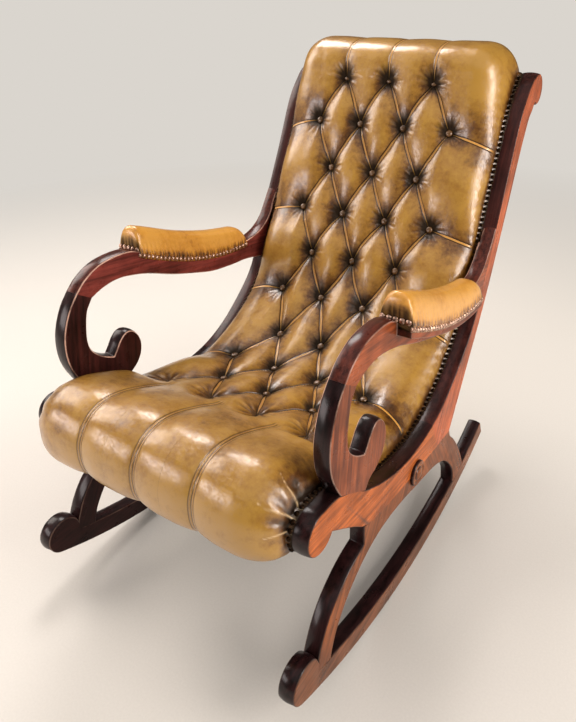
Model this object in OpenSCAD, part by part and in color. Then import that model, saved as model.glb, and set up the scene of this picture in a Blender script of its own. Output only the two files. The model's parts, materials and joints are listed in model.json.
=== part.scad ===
// Scroll-arm rocking chair: two sawn side frames on curved rockers, joined by
// cross rails and covered with deep-buttoned leather.
// The chair faces -Y, Z is up, and the floor is Z = 0. Left and right are the sitter's.

/* [Side frames] */
// Width over the two side frames
frame_w = 590; // [560:5:630]
// Depth from the rocker knobs to the back of the top scrolls
side_d = 1000; // [970:5:1030]
// Height from the floor to the top of the top scrolls
side_h = 895; // [870:5:920]
// Thickness of the stiles and seat rails
board_t = 38; // [36:1:42]
// Thickness of the arms, legs and rockers, flush with the others outside
limb_t = 30; // [28:1:34]
// Radius of the scroll at the top of a stile
top_scroll_r = 32; // [29:1:34]
// Radius of the scroll at the front of a seat rail
rail_scroll_r = 34; // [32:1:36]

/* [Rockers] */
// Radius of the curve that rolls on the floor
rocker_r = 985; // [950:5:1050]
// Depth of a rocker between its two curves
rocker_h = 36; // [33:1:40]
// Radius of the round knob at the front of a rocker
knob_r = 34; // [31:1:36]

/* [Arms] */
// How far the pad shelf stands out beyond the side frame
shelf_out = 26; // [20:1:30]
// Thickness of the pad shelf
shelf_t = 24; // [20:1:28]
// Height of an arm pad's crown above the arm
arm_pad_h = 54; // [44:1:60]

/* [Bosses and stretcher] */
// Diameter of the turned boss on each side frame
boss_d = 50; // [44:1:56]
// Height of the boss above the board
boss_h = 10; // [8:1:14]
// Diameter of the stretcher between the side frames
stretcher_d = 32; // [28:1:34]
// Diameter of the bolt that holds the stretcher
bolt_d = 8; // [6:1:10]
// Diameter of the bolt's head
bolt_head_d = 18; // [16:1:20]
// Height of the bolt's head
bolt_head_h = 5; // [4:1:6]
// How far the bolt reaches into the stretcher
bolt_reach = 52; // [46:1:60]
// Diameter of the barrel nut in the stretcher
barrel_d = 14; // [12:1:15]

/* [Cross rails] */
// Thickness of the crest rail and the lumbar rail
rail_t = 22; // [20:1:24]
// Height of the crest rail
crest_rail_h = 108; // [100:1:114]
// Height of the lumbar rail
lumbar_rail_h = 48; // [44:1:54]
// Width of the front seat rail, front to back
front_rail_w = 34; // [30:1:36]
// Height of the front seat rail
front_rail_h = 50; // [46:1:52]
// Width of the rear seat rail, front to back
rear_rail_w = 26; // [22:1:30]
// Height of the rear seat rail
rear_rail_h = 44; // [40:1:48]
// Length of a stub tenon
tenon_l = 22; // [18:1:26]
// Shoulder round a stub tenon
shoulder = 5; // [4:1:6]
// Diameter of the dowels in the side frames
dowel_d = 10; // [8:1:12]
// Length of those dowels
dowel_l = 46; // [40:1:52]

/* [Upholstery] */
// Crown of the buttoned leather above the frame line
crown_h = 60; // [56:1:64]
// Depth of a button below the crown
tuft_d = 30; // [24:1:34]
// Distance between buttons in one row
button_gap = 108; // [102:1:112]
// Diameter of a covered button
button_d = 15; // [13:1:17]
// Height of a covered button
button_h = 6; // [5:1:7]
// Leather that laps onto the face of a side frame
lap = 11; // [10:1:13]
// Radius of the front roll's crown about the rail scroll
roll_r = 93; // [88:1:98]
// Thickness of the leather at a nailed edge
leather_t = 1.6; // [1.2:0.1:2]
// Thickness of the webbing
web_t = 2.5; // [2:0.1:3]
// Width of a webbing strap
web_w = 50; // [44:1:54]
// Thickness of the hessian
hessian_t = 1.2; // [1:0.1:1.5]
// Diameter of a nail head
nail_d = 8.5; // [8:0.5:10]
// Height of a nail head
nail_h = 3; // [2.5:0.1:3.5]
// Distance between nails in a row
nail_gap = 11.5; // [11:0.5:14]

/* [Hidden] */
// Clearance of a part that slides into wood
fit = 0.2;
// Clearance under upholstery and between upholstered parts
rest_gap = 0.3;
// Overrun of a cut past the face that it leaves
over = 2;
// Extra depth at the blind end of a hole
bottom_gap = 1;
inner_w = frame_w - 2 * board_t;
inner_x = inner_w / 2;
outer_x = frame_w / 2;
edge_x = inner_x + lap;
spline_steps = 4;

// Sideways places are shares of side_d from the middle, and heights are shares of side_h.
// The frame line is the upper and front edge of stile and rail, from top scroll to rail scroll.
front_shares = [
  [0.460, 0.999], [0.428, 0.986], [0.402, 0.961], [0.363, 0.906], [0.312, 0.788], [0.261, 0.678],
  [0.219, 0.583], [0.175, 0.484], [0.126, 0.425], [0.052, 0.364], [-0.022, 0.330], [-0.105, 0.320],
  [-0.184, 0.333], [-0.258, 0.364], [-0.317, 0.404], [-0.366, 0.436], [-0.415, 0.443]];
back_shares = [
  [0.452, 0.933], [0.438, 0.917], [0.416, 0.894], [0.375, 0.816], [0.332, 0.721], [0.288, 0.630],
  [0.244, 0.540], [0.200, 0.462], [0.155, 0.391], [0.108, 0.316], [0.068, 0.251]];
under_shares = [
  [0.068, 0.251], [0.003, 0.256], [-0.095, 0.264], [-0.184, 0.275], [-0.243, 0.287], [-0.289, 0.301],
  [-0.322, 0.330], [-0.353, 0.356], [-0.391, 0.386]];
arch_shares = [
  [-0.402, 0.080], [-0.388, 0.127], [-0.363, 0.167], [-0.332, 0.197], [-0.292, 0.222], [-0.243, 0.237],
  [-0.194, 0.239], [-0.140, 0.233], [-0.095, 0.223], [-0.046, 0.214], [0.003, 0.202], [0.047, 0.179],
  [0.084, 0.140], [0.106, 0.101], [0.111, 0.050]];
leg_front_shares = [
  [-0.290, 0.255], [-0.322, 0.247], [-0.353, 0.233], [-0.389, 0.206], [-0.418, 0.165], [-0.445, 0.098]];
leg_rear_shares = [
  [0.068, 0.251], [0.077, 0.228], [0.101, 0.200], [0.129, 0.157], [0.151, 0.114], [0.172, 0.060]];
arm_top_shares = [
  [-0.347, 0.641], [-0.326, 0.662], [-0.292, 0.680], [-0.253, 0.685], [-0.218, 0.682], [-0.194, 0.672],
  [-0.135, 0.642], [-0.066, 0.612], [0.000, 0.591], [0.062, 0.580], [0.131, 0.577], [0.180, 0.587],
  [0.215, 0.611], [0.241, 0.648], [0.275, 0.700]];
arm_under_shares = [
  [-0.317, 0.619], [-0.292, 0.629], [-0.261, 0.634], [-0.228, 0.630], [-0.177, 0.614], [-0.112, 0.584],
  [-0.046, 0.559], [0.006, 0.542], [0.071, 0.532], [0.131, 0.526], [0.200, 0.508]];
scroll_front_shares = [
  [-0.347, 0.641], [-0.365, 0.616], [-0.379, 0.586], [-0.387, 0.556], [-0.389, 0.523], [-0.385, 0.492],
  [-0.375, 0.463], [-0.357, 0.425]];
scroll_inner_shares = [
  [-0.317, 0.619], [-0.332, 0.595], [-0.339, 0.563], [-0.342, 0.534], [-0.338, 0.509], [-0.326, 0.490],
  [-0.308, 0.474], [-0.290, 0.463]];
volute_shares = [
  [-0.290, 0.378], [-0.276, 0.397], [-0.254, 0.405], [-0.237, 0.418], [-0.225, 0.437], [-0.221, 0.460],
  [-0.226, 0.483], [-0.240, 0.501], [-0.256, 0.503], [-0.270, 0.492], [-0.280, 0.477], [-0.290, 0.463]];
scroll_foot_shares = [[-0.345, 0.400], [-0.300, 0.368]];
rocker_y_share = -0.095;
rocker_end_share = 0.288;
boss_z_share = 0.264;
stile_end_mark = 10;
rail_end_mark = 1;
seam_mark = 2;
arch_mark = 8;
pad_first_mark = 5;
pad_last_mark = 10;

// Button rows, as places along the keys of the frame line, and their crowns as shares of crown_h
row_marks = [2.5, 3.45, 4.35, 5.3, 6.35, 7.65, 9, 10.4, 11.8, 13.3];
crown_shares = [1.2, 1.03, 0.9, 0.8, 0.9, 0.8, 0.83, 1.02, 1.17, 1.0];
last_row = 9;
split_row_mark = 5.5;
row_steps = 4;
// How much of a tuft's depth its pleats have away from the buttons
pleat_share = 0.45;
// Reach of the funnel round a button, as a share of button_gap
funnel_share = 0.42;
crest_mark = 2.3;
// The crest's outer and inner lines about the crest rail, along and across it, as shares of crest_rail_h
crest_shares = [
  [-0.03, 0.87], [-0.30, 0.93], [-0.60, 0.81], [-0.90, 0.58], [-1.10, 0.29], [-1.13, -0.04],
  [-0.99, -0.31], [-0.80, -0.48]];
crest_base_shares = [
  [-0.11, 0.00], [-0.28, 0.00], [-0.46, 0.00], [-0.64, -0.01]];
crest_rail_up = 0.66;
// How far the frame line bows behind the straight crest rail
crest_bow = 3.2;
// The front roll round the rail scroll: angle, and crown as a share of roll_r
roll_shares = [
  [22, 1.37], [43, 1.08], [74, 0.97], [101, 1.01], [126, 1.03], [150, 0.98], [172, 0.91], [195, 0.87],
  [215, 0.79], [236, 0.64]];
roll_marks = [13.9, 14.6, 15.5];
seam_share = 0.235;
seam_groove = 5;
roll_steps = 2;

// Curves
function place(s) = [s.x * side_d, s.y * side_h];
function places(list) = [for (s = list) place(s)];
function knot(p, i) =
  i < 0 ? 2 * p[0] - p[1] :
  i > len(p) - 1 ? 2 * p[len(p) - 1] - p[len(p) - 2] : p[i];
function blend4(a, b, c, d, t) =
  ((2 * b) + (c - a) * t + (2 * a - 5 * b + 4 * c - d) * t * t
    + (3 * b - a - 3 * c + d) * t * t * t) / 2;
function along(p, u) =
  let (i = max(0, min(floor(u), len(p) - 2)))
  blend4(knot(p, i - 1), knot(p, i), knot(p, i + 1), knot(p, i + 2), u - i);
function smooth(p, n = spline_steps) = [for (i = [0:(len(p) - 1) * n]) along(p, i / n)];
function part_of(p, a, b) =
  a < b ? [for (i = [a:b]) p[i]] : [for (i = [a:-1:b]) p[i]];
function backwards(p) = [for (i = [len(p) - 1:-1:0]) p[i]];
function unit(v) = v / norm(v);

front_keys = places(front_shares);
front_line = smooth(front_keys);
back_line = smooth(places(back_shares));
under_line = smooth(places(under_shares));
arch_line = smooth(places(arch_shares));
arm_top_line = smooth(places(arm_top_shares));

rocker_y = rocker_y_share * side_d;
knob_y = knob_r - side_d / 2;
knob_z = rocker_r - sqrt(pow(rocker_r - knob_r, 2) - pow(knob_y - rocker_y, 2));
top_scroll = [side_d / 2 - top_scroll_r, side_h - top_scroll_r];
rail_scroll = front_keys[len(front_keys) - 1] - [0, rail_scroll_r];
boss_at = [rocker_y, boss_z_share * side_h];

// A place on the frame line, its running direction and its outward normal
nudge = 0.01;
function heading(u) = unit(along(front_keys, u + nudge) - along(front_keys, u - nudge));
function outward(u) = [heading(u).y, -heading(u).x];
function spot(u, h) = along(front_keys, u) + h * outward(u);
function mark_at(t) = along([for (m = row_marks) [m, 0]], t).x;
function crown_at(t) = along([for (c = crown_shares) [c, 0]], t).x * crown_h;

// Flat shapes of the side frame, in the Y and Z plane
module stile_shape() {
  polygon(concat(
    part_of(front_line, 0, stile_end_mark * spline_steps),
    part_of(under_line, rail_end_mark * spline_steps, 1),
    backwards(back_line)));
  translate(top_scroll) circle(r = top_scroll_r, $fn = 64);
}

module rail_shape() {
  polygon(concat(
    part_of(front_line, stile_end_mark * spline_steps, len(front_line) - 1),
    part_of(under_line, len(under_line) - 1, rail_end_mark * spline_steps)));
  translate(rail_scroll) circle(r = rail_scroll_r, $fn = 64);
}

module rocker_shape() {
  reach = 2 * rocker_r;
  a = asin((knob_y - rocker_y) / (rocker_r - knob_r));
  b = asin((rocker_end_share * side_d - rocker_y) / rocker_r);
  translate([rocker_y, rocker_r]) intersection() {
    difference() {
      circle(r = rocker_r, $fn = 360);
      circle(r = rocker_r - rocker_h, $fn = 360);
    }
    polygon([[0, 0], reach * [sin(a), -cos(a)], reach * [sin(b), -cos(b)]]);
  }
  translate([knob_y, knob_z]) circle(r = knob_r, $fn = 64);
}

module front_leg_shape() {
  difference() {
    polygon(concat(
      part_of(under_line, seam_mark * spline_steps, 5 * spline_steps),
      smooth(places(leg_front_shares)),
      part_of(arch_line, 0, arch_mark * spline_steps)));
    rocker_shape();
  }
}

module rear_leg_shape() {
  difference() {
    polygon(concat(
      part_of(under_line, seam_mark * spline_steps, 1),
      smooth(places(leg_rear_shares)),
      part_of(arch_line, len(arch_line) - 1, arch_mark * spline_steps)));
    rocker_shape();
  }
}

module arm_shape() {
  difference() {
    polygon(concat(arm_top_line, backwards(smooth(places(arm_under_shares)))));
    stile_shape();
  }
}

module shelf_shape() {
  top = part_of(arm_top_line, pad_first_mark * spline_steps, pad_last_mark * spline_steps);
  polygon(concat(top, [for (p = backwards(top)) p - [0, shelf_t]]));
}

module arm_scroll_shape() {
  difference() {
    polygon(concat(
      smooth(places(scroll_front_shares)),
      places(scroll_foot_shares),
      smooth(places(volute_shares)),
      part_of(backwards(smooth(places(scroll_inner_shares))), 1, 7 * spline_steps)));
    rail_shape();
  }
}

// Stands a flat shape up as a board, from x over thickness t
module board(x, t) {
  translate([x, 0, 0]) rotate([90, 0, 90]) linear_extrude(t) children();
}

module side_board(t = board_t) {
  board(outer_x - t, t) children();
}

// s is 1 for the sitter's left, at +X, and -1 for the right
module sided(s) {
  if (s > 0) children();
  else mirror([1, 0, 0]) children();
}

// Local axes on the frame line: Y runs down it and Z points behind it
module on_line(u) {
  at = spot(u, 0);
  d = heading(u);
  translate([0, at.x, at.y]) rotate([atan2(d.y, d.x), 0, 0]) children();
}

// Dowels of a side frame: place as shares, and the angle of the axis above the horizontal
dowel_shares = [
  [-0.332, 0.630, 57], [0.233, 0.560, -25], [0.213, 0.527, -25], [-0.345, 0.415, 57], [-0.305, 0.390, 57],
  [-0.012, 0.278, 0], [-0.018, 0.309, 0], [-0.427, 0.112, 60], [0.142, 0.074, 115],
  [-0.150, 0.271, 90], [-0.225, 0.282, 90], [0.024, 0.254, 90], [-0.056, 0.259, 90]];
dowel_x = (edge_x + outer_x) / 2;

module dowel(i, d, l) {
  s = dowel_shares[i];
  p = place(s);
  translate([dowel_x, p.x, p.y]) rotate([90 + s[2], 0, 0]) rotate([180, 0, 0])
    translate([0, 0, -l / 2]) cylinder(d = d, h = l, $fn = 32);
}

module dowel_holes(list) {
  for (i = list) dowel(i, dowel_d + 2 * fit, dowel_l + 2 * bottom_gap);
}

// Cross rails, each with its stub tenons, and the mortises for them when grow is above zero
module crest_rail_block(grow = 0) {
  on_line(crest_mark) {
    if (grow == 0) translate([-inner_x, -crest_rail_up * crest_rail_h, crest_depth])
      cube([inner_w, crest_rail_h, rail_t]);
    tenon(-crest_rail_up * crest_rail_h + 6 * shoulder, crest_rail_h - 8 * shoulder,
      crest_depth + shoulder, rail_t - 2 * shoulder, grow);
  }
}

module lumbar_rail_block(grow = 0) {
  on_line(lumbar_mark) {
    if (grow == 0) translate([-inner_x, -lumbar_rail_h / 2, rail_depth])
      cube([inner_w, lumbar_rail_h, rail_t]);
    tenon(shoulder - lumbar_rail_h / 2, lumbar_rail_h - 2 * shoulder,
      rail_depth + shoulder, rail_t - 2 * shoulder, grow);
  }
}

module front_rail_block(grow = 0) {
  translate([0, rail_scroll.x - front_rail_w / 2, rail_scroll.y - front_rail_h / 2]) {
    if (grow == 0) translate([-inner_x, 0, 0]) cube([inner_w, front_rail_w, front_rail_h]);
    tenon(shoulder, front_rail_w - 2 * shoulder, shoulder, front_rail_h - 2 * shoulder, grow);
  }
}

module rear_rail_block(grow = 0) {
  at = place(rear_rail_share);
  translate([0, at.x - rear_rail_w / 2, at.y - rear_rail_h / 2]) {
    if (grow == 0) translate([-inner_x, 0, 0]) cube([inner_w, rear_rail_w, rear_rail_h]);
    tenon(shoulder, rear_rail_w - 2 * shoulder, shoulder, rear_rail_h - 2 * shoulder, grow);
  }
}

module tenon(y, l, z, t, grow) {
  reach = inner_x + tenon_l + (grow > 0 ? bottom_gap : 0);
  translate([-reach, y - grow, z - grow]) cube([2 * reach, l + 2 * grow, t + 2 * grow]);
}

cross_depth = hessian_t + rest_gap;
long_depth = cross_depth + web_t + rest_gap;
rail_depth = long_depth + web_t + rest_gap;
crest_depth = rail_depth + crest_bow;
lumbar_mark = 7.45;
rear_rail_share = [0.045, 0.289];

// Side frame pieces
module stile(s) {
  color("#6e3524") sided(s) difference() {
    side_board() stile_shape();
    crest_rail_block(fit);
    lumbar_rail_block(fit);
    rear_rail_block(fit);
    dowel_holes([1, 2, 5, 6, 11]);
  }
}

module seat_rail(s) {
  color("#6e3524") sided(s) difference() {
    side_board() rail_shape();
    front_rail_block(fit);
    boss_bore(bolt_d + 2 * fit);
    dowel_holes([3, 4, 5, 6, 9, 10, 12]);
  }
}

module front_leg(s) {
  color("#643021") sided(s) difference() {
    side_board(limb_t) front_leg_shape();
    boss_bore(bolt_d + 2 * fit);
    dowel_holes([7, 9, 10]);
  }
}

module rear_leg(s) {
  color("#643021") sided(s) difference() {
    side_board(limb_t) rear_leg_shape();
    boss_bore(bolt_d + 2 * fit);
    dowel_holes([8, 11, 12]);
  }
}

module rocker(s) {
  color("#5c2a1e") sided(s) difference() {
    side_board(limb_t) rocker_shape();
    dowel_holes([7, 8]);
  }
}

// Room for the nailed leather edge where an arm stands on the frame line
module edge_rebate(u0, u1) {
  room = leather_t + roll_gap + nail_h + 2 * rest_gap;
  band(u0, u1, -room, over, inner_x - over, edge_x + fit, 16);
}

// At its upper end an arm stands beside the nailed edge, which stays in sight
module edge_notch(u0, u1) {
  band(u0, u1, -crown_h, over, inner_x - over, edge_x + fit, 16);
}

module arm_rest(s) {
  color("#7d3b28") sided(s) difference() {
    union() {
      side_board(limb_t) arm_shape();
      board(outer_x - over, shelf_out + over) shelf_shape();
    }
    edge_rebate(4, 7.6);
    edge_notch(4, 5.08);
    dowel_holes([0, 1, 2]);
  }
}

module arm_scroll(s) {
  color("#63301f") sided(s) difference() {
    side_board(limb_t) arm_scroll_shape();
    edge_rebate(12.6, 15.5);
    dowel_holes([0, 3, 4]);
  }
}

module frame_dowels(s) {
  color("#c9a36a") sided(s) for (i = [0:len(dowel_shares) - 1]) dowel(i, dowel_d, dowel_l);
}

// Bosses, stretcher and its bolts
module boss_bore(d) {
  translate([inner_x - over, boss_at.x, boss_at.y]) rotate([0, 90, 0])
    cylinder(d = d, h = board_t + 2 * over, $fn = 48);
}

boss_ring_shares = [
  [0, 0], [1, 0], [1, 0.45], [0.94, 0.66], [0.84, 0.72], [0.76, 0.6], [0.66, 0.48], [0.54, 0.5],
  [0.46, 0.72], [0.3, 0.92], [0, 1]];

module boss(s) {
  head_r = bolt_head_d / 2 + fit;
  head_h = bolt_head_h + fit;
  color("#74402c") sided(s) translate([outer_x, boss_at.x, boss_at.y]) rotate([0, 90, 0])
    difference() {
      rotate_extrude($fn = 64)
        polygon([for (p = boss_ring_shares) [p.x * boss_d / 2, p.y * boss_h]]);
      translate([0, 0, -over]) cylinder(r = head_r, h = head_h + over, $fn = 48);
    }
}

// The turned stretcher is thickest in the middle
stretcher_turning_shares = [[0, 0.72], [0.04, 0.72], [0.06, 0.86], [0.1, 0.8], [0.3, 0.92], [0.5, 1]];

module stretcher() {
  half = [for (p = stretcher_turning_shares) [p.y * stretcher_d / 2, p.x * inner_w]];
  color("#5c2a1e") difference() {
    translate([-inner_x, boss_at.x, boss_at.y]) rotate([0, 90, 0]) rotate_extrude($fn = 64)
      polygon(concat([[0, 0]], half,
        [for (p = backwards(half)) if (p.y < inner_x) [p.x, inner_w - p.y]], [[0, inner_w]]));
    for (s = [1, -1]) sided(s) {
      bolt_shank(bolt_d + 2 * fit, bottom_gap, over);
      barrel(barrel_d + 2 * fit, stretcher_d);
    }
  }
}

module bolt_shank(d, extra, start) {
  translate([inner_x - bolt_reach - extra, boss_at.x, boss_at.y]) rotate([0, 90, 0])
    cylinder(d = d, h = bolt_reach + extra + start, $fn = 48);
}

barrel_in = 14;
module barrel(d, l) {
  translate([inner_x - bolt_reach + barrel_in, boss_at.x, boss_at.y - l / 2])
    cylinder(d = d, h = l, $fn = 48);
}

module stretcher_bolts() {
  color("#6b6458") for (s = [1, -1]) sided(s) {
    bolt_shank(bolt_d, 0, board_t + over);
    translate([outer_x + fit / 2, boss_at.x, boss_at.y]) rotate([0, 90, 0])
      cylinder(d = bolt_head_d, h = bolt_head_h - fit, $fn = 48);
  }
}

module stretcher_nuts() {
  length = 0.7 * stretcher_d;
  color("#8a8174") for (s = [1, -1]) sided(s) difference() {
    barrel(barrel_d, length);
    bolt_shank(bolt_d, over, over);
  }
}

// Cross rails
module crest_rail() {
  color("#a9794a") crest_rail_block();
}

module lumbar_rail() {
  color("#a9794a") lumbar_rail_block();
}

module front_seat_rail() {
  color("#a9794a") front_rail_block();
}

module rear_seat_rail() {
  color("#a9794a") rear_rail_block();
}

block_w = 40;
// Glue blocks in the corners of the front and rear seat rails
module corner_blocks() {
  front = rail_scroll + [front_rail_w / 2, -front_rail_h / 2];
  rear = place(rear_rail_share) - [rear_rail_w / 2, rear_rail_h / 2];
  color("#b98a58") for (s = [1, -1]) sided(s) {
    translate([inner_x, front.x, front.y + shoulder]) linear_extrude(front_rail_h / 2)
      polygon([[0, 0], [-block_w, 0], [0, block_w]]);
    translate([inner_x, rear.x, rear.y + rear_rail_h / 3]) linear_extrude(rear_rail_h / 2)
      polygon([[0, 0], [0, -block_w], [-block_w, 0]]);
  }
}

// Bands that follow the frame line between two places on it, from depth a to depth b behind it
function line_band(u0, u1, a, b, n) =
  concat(
    [for (i = [0:n]) spot(u0 + (u1 - u0) * i / n, -a)],
    [for (i = [n:-1:0]) spot(u0 + (u1 - u0) * i / n, -b)]);

module band(u0, u1, a, b, x0, x1, n) {
  board(x0, x1 - x0) polygon(line_band(u0, u1, a, b, n));
}

// Places on the frame line where the webbing starts and ends, and where the rails leave room
back_top_mark = 2.25;
lumbar_from_mark = 7.0;
lumbar_to_mark = 7.9;
seat_from_mark = 8.05;
seat_to_mark = 14.5;
web_to_mark = 15.8;
batten_w = 18;
batten_t = 14;

module tacking_battens(s) {
  color("#b08552") sided(s) {
    band(3.0, lumbar_from_mark, rail_depth, rail_depth + batten_t, inner_x - batten_w, inner_x, 16);
    band(seat_from_mark, seat_to_mark, rail_depth, rail_depth + batten_t, inner_x - batten_w, inner_x, 24);
  }
}

back_strap_marks = [2.9, 3.75, 4.55, 5.3, 6.1, 6.95];
seat_strap_marks = [8.35, 9.5, 10.7, 11.9, 13.1, 14.3];
long_strap_shares = [-0.36, -0.12, 0.12, 0.36];

module cross_straps(marks) {
  for (m = marks) {
    step = web_w / norm(along(front_keys, m + 0.5) - along(front_keys, m - 0.5));
    band(m - step / 2, m + step / 2, cross_depth, cross_depth + web_t, -inner_x + fit, inner_x - fit, 3);
  }
}

module long_straps(u0, u1, n) {
  for (s = long_strap_shares)
    band(u0, u1, long_depth, long_depth + web_t,
      s * inner_w - web_w / 2, s * inner_w + web_w / 2, n);
}

module back_webbing() {
  color("#b79a66") {
    cross_straps(back_strap_marks);
    long_straps(back_top_mark, lumbar_to_mark, 22);
  }
}

module seat_webbing() {
  color("#b79a66") {
    cross_straps(seat_strap_marks);
    long_straps(seat_from_mark, web_to_mark, 30);
  }
}

module hessian() {
  color("#a8926a") band(back_top_mark, roll_marks[1], 0, hessian_t, -inner_x + fit, inner_x - fit, 54);
}

// Closed skin through a row of loops that all have the same number of points
module loft(loops) {
  n = len(loops[0]);
  m = len(loops);
  polyhedron(
    points = [for (l = loops) for (p = l) p],
    faces = concat(
      [for (i = [0:m - 2]) for (j = [0:n - 1]) [i * n + j, i * n + (j + 1) % n, (i + 1) * n + j]],
      [for (i = [0:m - 2]) for (j = [0:n - 1])
        [i * n + (j + 1) % n, (i + 1) * n + (j + 1) % n, (i + 1) * n + j]],
      [[for (j = [n - 1:-1:0]) j]],
      [[for (j = [0:n - 1]) (m - 1) * n + j]]));
}

// Across the upholstery: quarter steps of the button gap, then steps that close up at the edge
margin = 10;
quarter_steps = 8;
side_step_shares = [0.5, 0.8, 1];
rise_x = edge_x - margin;
half_columns = concat(
  [for (i = [0:quarter_steps]) i * button_gap / 4],
  [for (s = side_step_shares) let (a = quarter_steps * button_gap / 4) a + (rise_x - a) * s],
  [edge_x]);
columns = concat(
  [for (i = [len(half_columns) - 1:-1:1]) -half_columns[i]],
  half_columns);
edge_round = 70;

function column(x0, rise, half) =
  let (even = quarter_steps * button_gap / 4, a = abs(x0), side = sign(x0))
  a > rise_x ? side * half :
  a > even ? side * (even + (a - even) * (min(rise, half) - even) / (rise_x - even)) :
  x0;

// Rises from 0 at the edge to 1 where the crown is level
function crown_edge(x) =
  let (d = max(0, min(1, (rise_x - abs(x)) / edge_round))) sqrt(1 - pow(1 - d, 2));

// Deep buttoning. u counts button gaps across and t counts rows down, so buttons lie where
// u + t/2 and u - t/2 are both whole, and pleats run where one of them is.
function last_button(x) = 1.5 * button_gap;
function puff(x, t) =
  let (u = x / button_gap)
  abs(x) > last_button(x) ? (t < 0 ? 1 : pow(cos(90 * t), 2)) :
  t < 0 ? pow(sin(180 * u), 2) :
  t > last_row ? pow(cos(180 * u), 2) :
  abs(sin(180 * (u + t / 2)) * sin(180 * (u - t / 2)));
function button_range(x, t, gap_y) =
  let (u = x / button_gap, a = u + t / 2, b = u - t / 2)
  min([for (i = [floor(a), ceil(a)]) for (j = [floor(b), ceil(b)])
    let (bu = (i + j) / 2, bt = i - j)
    abs(bu) > 1.6 || bt < 0 || bt > last_row ? 9 * button_gap :
    norm([(u - bu) * button_gap, (t - bt) * gap_y])]);
function tuft(x, t) =
  let (funnel = max(0, 1 - button_range(x, t, button_gap) / (funnel_share * button_gap)))
  tuft_d * (pleat_share * (1 - sqrt(puff(x, t))) + (1 - pleat_share) * funnel * funnel);

// One loop round the upholstery, in the plane that runs from base point b towards crown point c
function skin_height(x0, h, dip) =
  max(leather_t, leather_t + (h - leather_t - dip) * crown_edge(x0));
function skin_loop(b, c, half, rise, dip) =
  let (h = norm(c - b), n = unit(c - b))
  concat(
    [[-half, b.x, b.y]],
    [for (x0 = columns)
      let (p = b + n * skin_height(x0, h, dip(x0)))
      [column(x0, rise, half), p.x, p.y]],
    [[half, b.x, b.y]]);

function row_base(t) = spot(mark_at(t), rest_gap);
function row_crown(t) = spot(mark_at(t), rest_gap + crown_at(t));
function row_loop(t) =
  skin_loop(row_base(t), row_crown(t), edge_x, rise_x, function(x) tuft(x, t));

// The crest rolls over the crest rail, in the rail's own axes
function crest_point(s) =
  along(front_keys, crest_mark)
    + heading(crest_mark) * s.x * crest_rail_h + outward(crest_mark) * s.y * crest_rail_h;
crest_wrap_shares = let (back = (crest_depth + rail_t + 2 * rest_gap) / crest_rail_h)
  [[-0.69, -back / 2], [-0.68, -back], [-0.58, -back], [-0.48, -back]];
crest_bases = concat(crest_base_shares, crest_wrap_shares);
crest_fade_share = 0.16;
crest_narrow = 4;

function crest_base(k) = crest_point(crest_bases[k]) + outward(crest_mark) * rest_gap;
function crest_dip(x, k) =
  tuft_d * pleat_share * (1 - sqrt(puff(x, -1))) * max(0, 1 - (k + 1) * crest_fade_share);
function crest_loop(k) =
  let (half = k >= crest_narrow ? inner_x - rest_gap : edge_x)
  skin_loop(crest_base(k), crest_point(crest_shares[k]), half, half - (edge_x - rise_x) / 2,
    function(x) crest_dip(x, k));

module tufted_back() {
  color("#9a7029") loft(concat(
    [for (k = [len(crest_shares) - 1:-1:0]) crest_loop(k)],
    [for (i = [0:split_row_mark * row_steps]) row_loop(i / row_steps)]));
}

module tufted_seat() {
  color("#9a7029") loft(
    [for (i = [split_row_mark * row_steps:last_row * row_steps])
      row_loop(i / row_steps + (i == split_row_mark * row_steps ? split_gap_share : 0))]);
}

split_gap_share = 0.004;

// The front roll's first loop repeats the seat's last one
roll_gap = 2 * rest_gap;
roll_base_r = rail_scroll_r + roll_gap;
function polar(r, a) = rail_scroll + r * [cos(a), sin(a)];
roll_line_marks = concat([row_marks[last_row]], roll_marks);
function roll_base(k) =
  k <= len(roll_marks) ?
    spot(lookup(k, [for (i = [0:len(roll_marks)]) [i, roll_line_marks[i]]]), roll_gap) :
  polar(roll_base_r, lookup(k, [for (i = [0:len(roll_shares) - 1]) [i + 1, roll_shares[i][0]]]));
roll_crowns = concat(
  [row_crown(last_row)],
  [for (s = roll_shares) polar(s[1] * roll_r, s[0])]);
function groove(x) =
  let (d = min([for (i = [-1:1]) abs(x - i * seam_share * inner_w)]))
  seam_groove * max(0, 1 - d / (2 * seam_groove));
function roll_dip(x, k) =
  k < 1 ? tuft(x, last_row) * (1 - k) + groove(x) * k : groove(x);

module front_roll() {
  color("#a0752b") loft([for (i = [0:(len(roll_shares)) * roll_steps])
    let (k = i / roll_steps, n = len(roll_shares), j = i == 0 ? split_gap_share : k)
    skin_loop(roll_base(j), along(roll_crowns, j), edge_x, rise_x,
      function(x) roll_dip(x, j))]);
}

// A stack of cones from a list of [width, height] shares
module domed(shares, d, h) {
  for (i = [0:len(shares) - 2])
    translate([0, 0, shares[i].y * h])
      cylinder(
        d1 = shares[i].x * d, d2 = shares[i + 1].x * d, h = (shares[i + 1].y - shares[i].y) * h,
        $fn = 32);
}

// A stack of cones from a list of [width, height] shares
module domed(shares, d, h) {
  for (i = [0:len(shares) - 2])
    translate([0, 0, shares[i].y * h])
      cylinder(
        d1 = shares[i].x * d, d2 = shares[i + 1].x * d, h = (shares[i + 1].y - shares[i].y) * h,
        $fn = 32);
}

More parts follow.
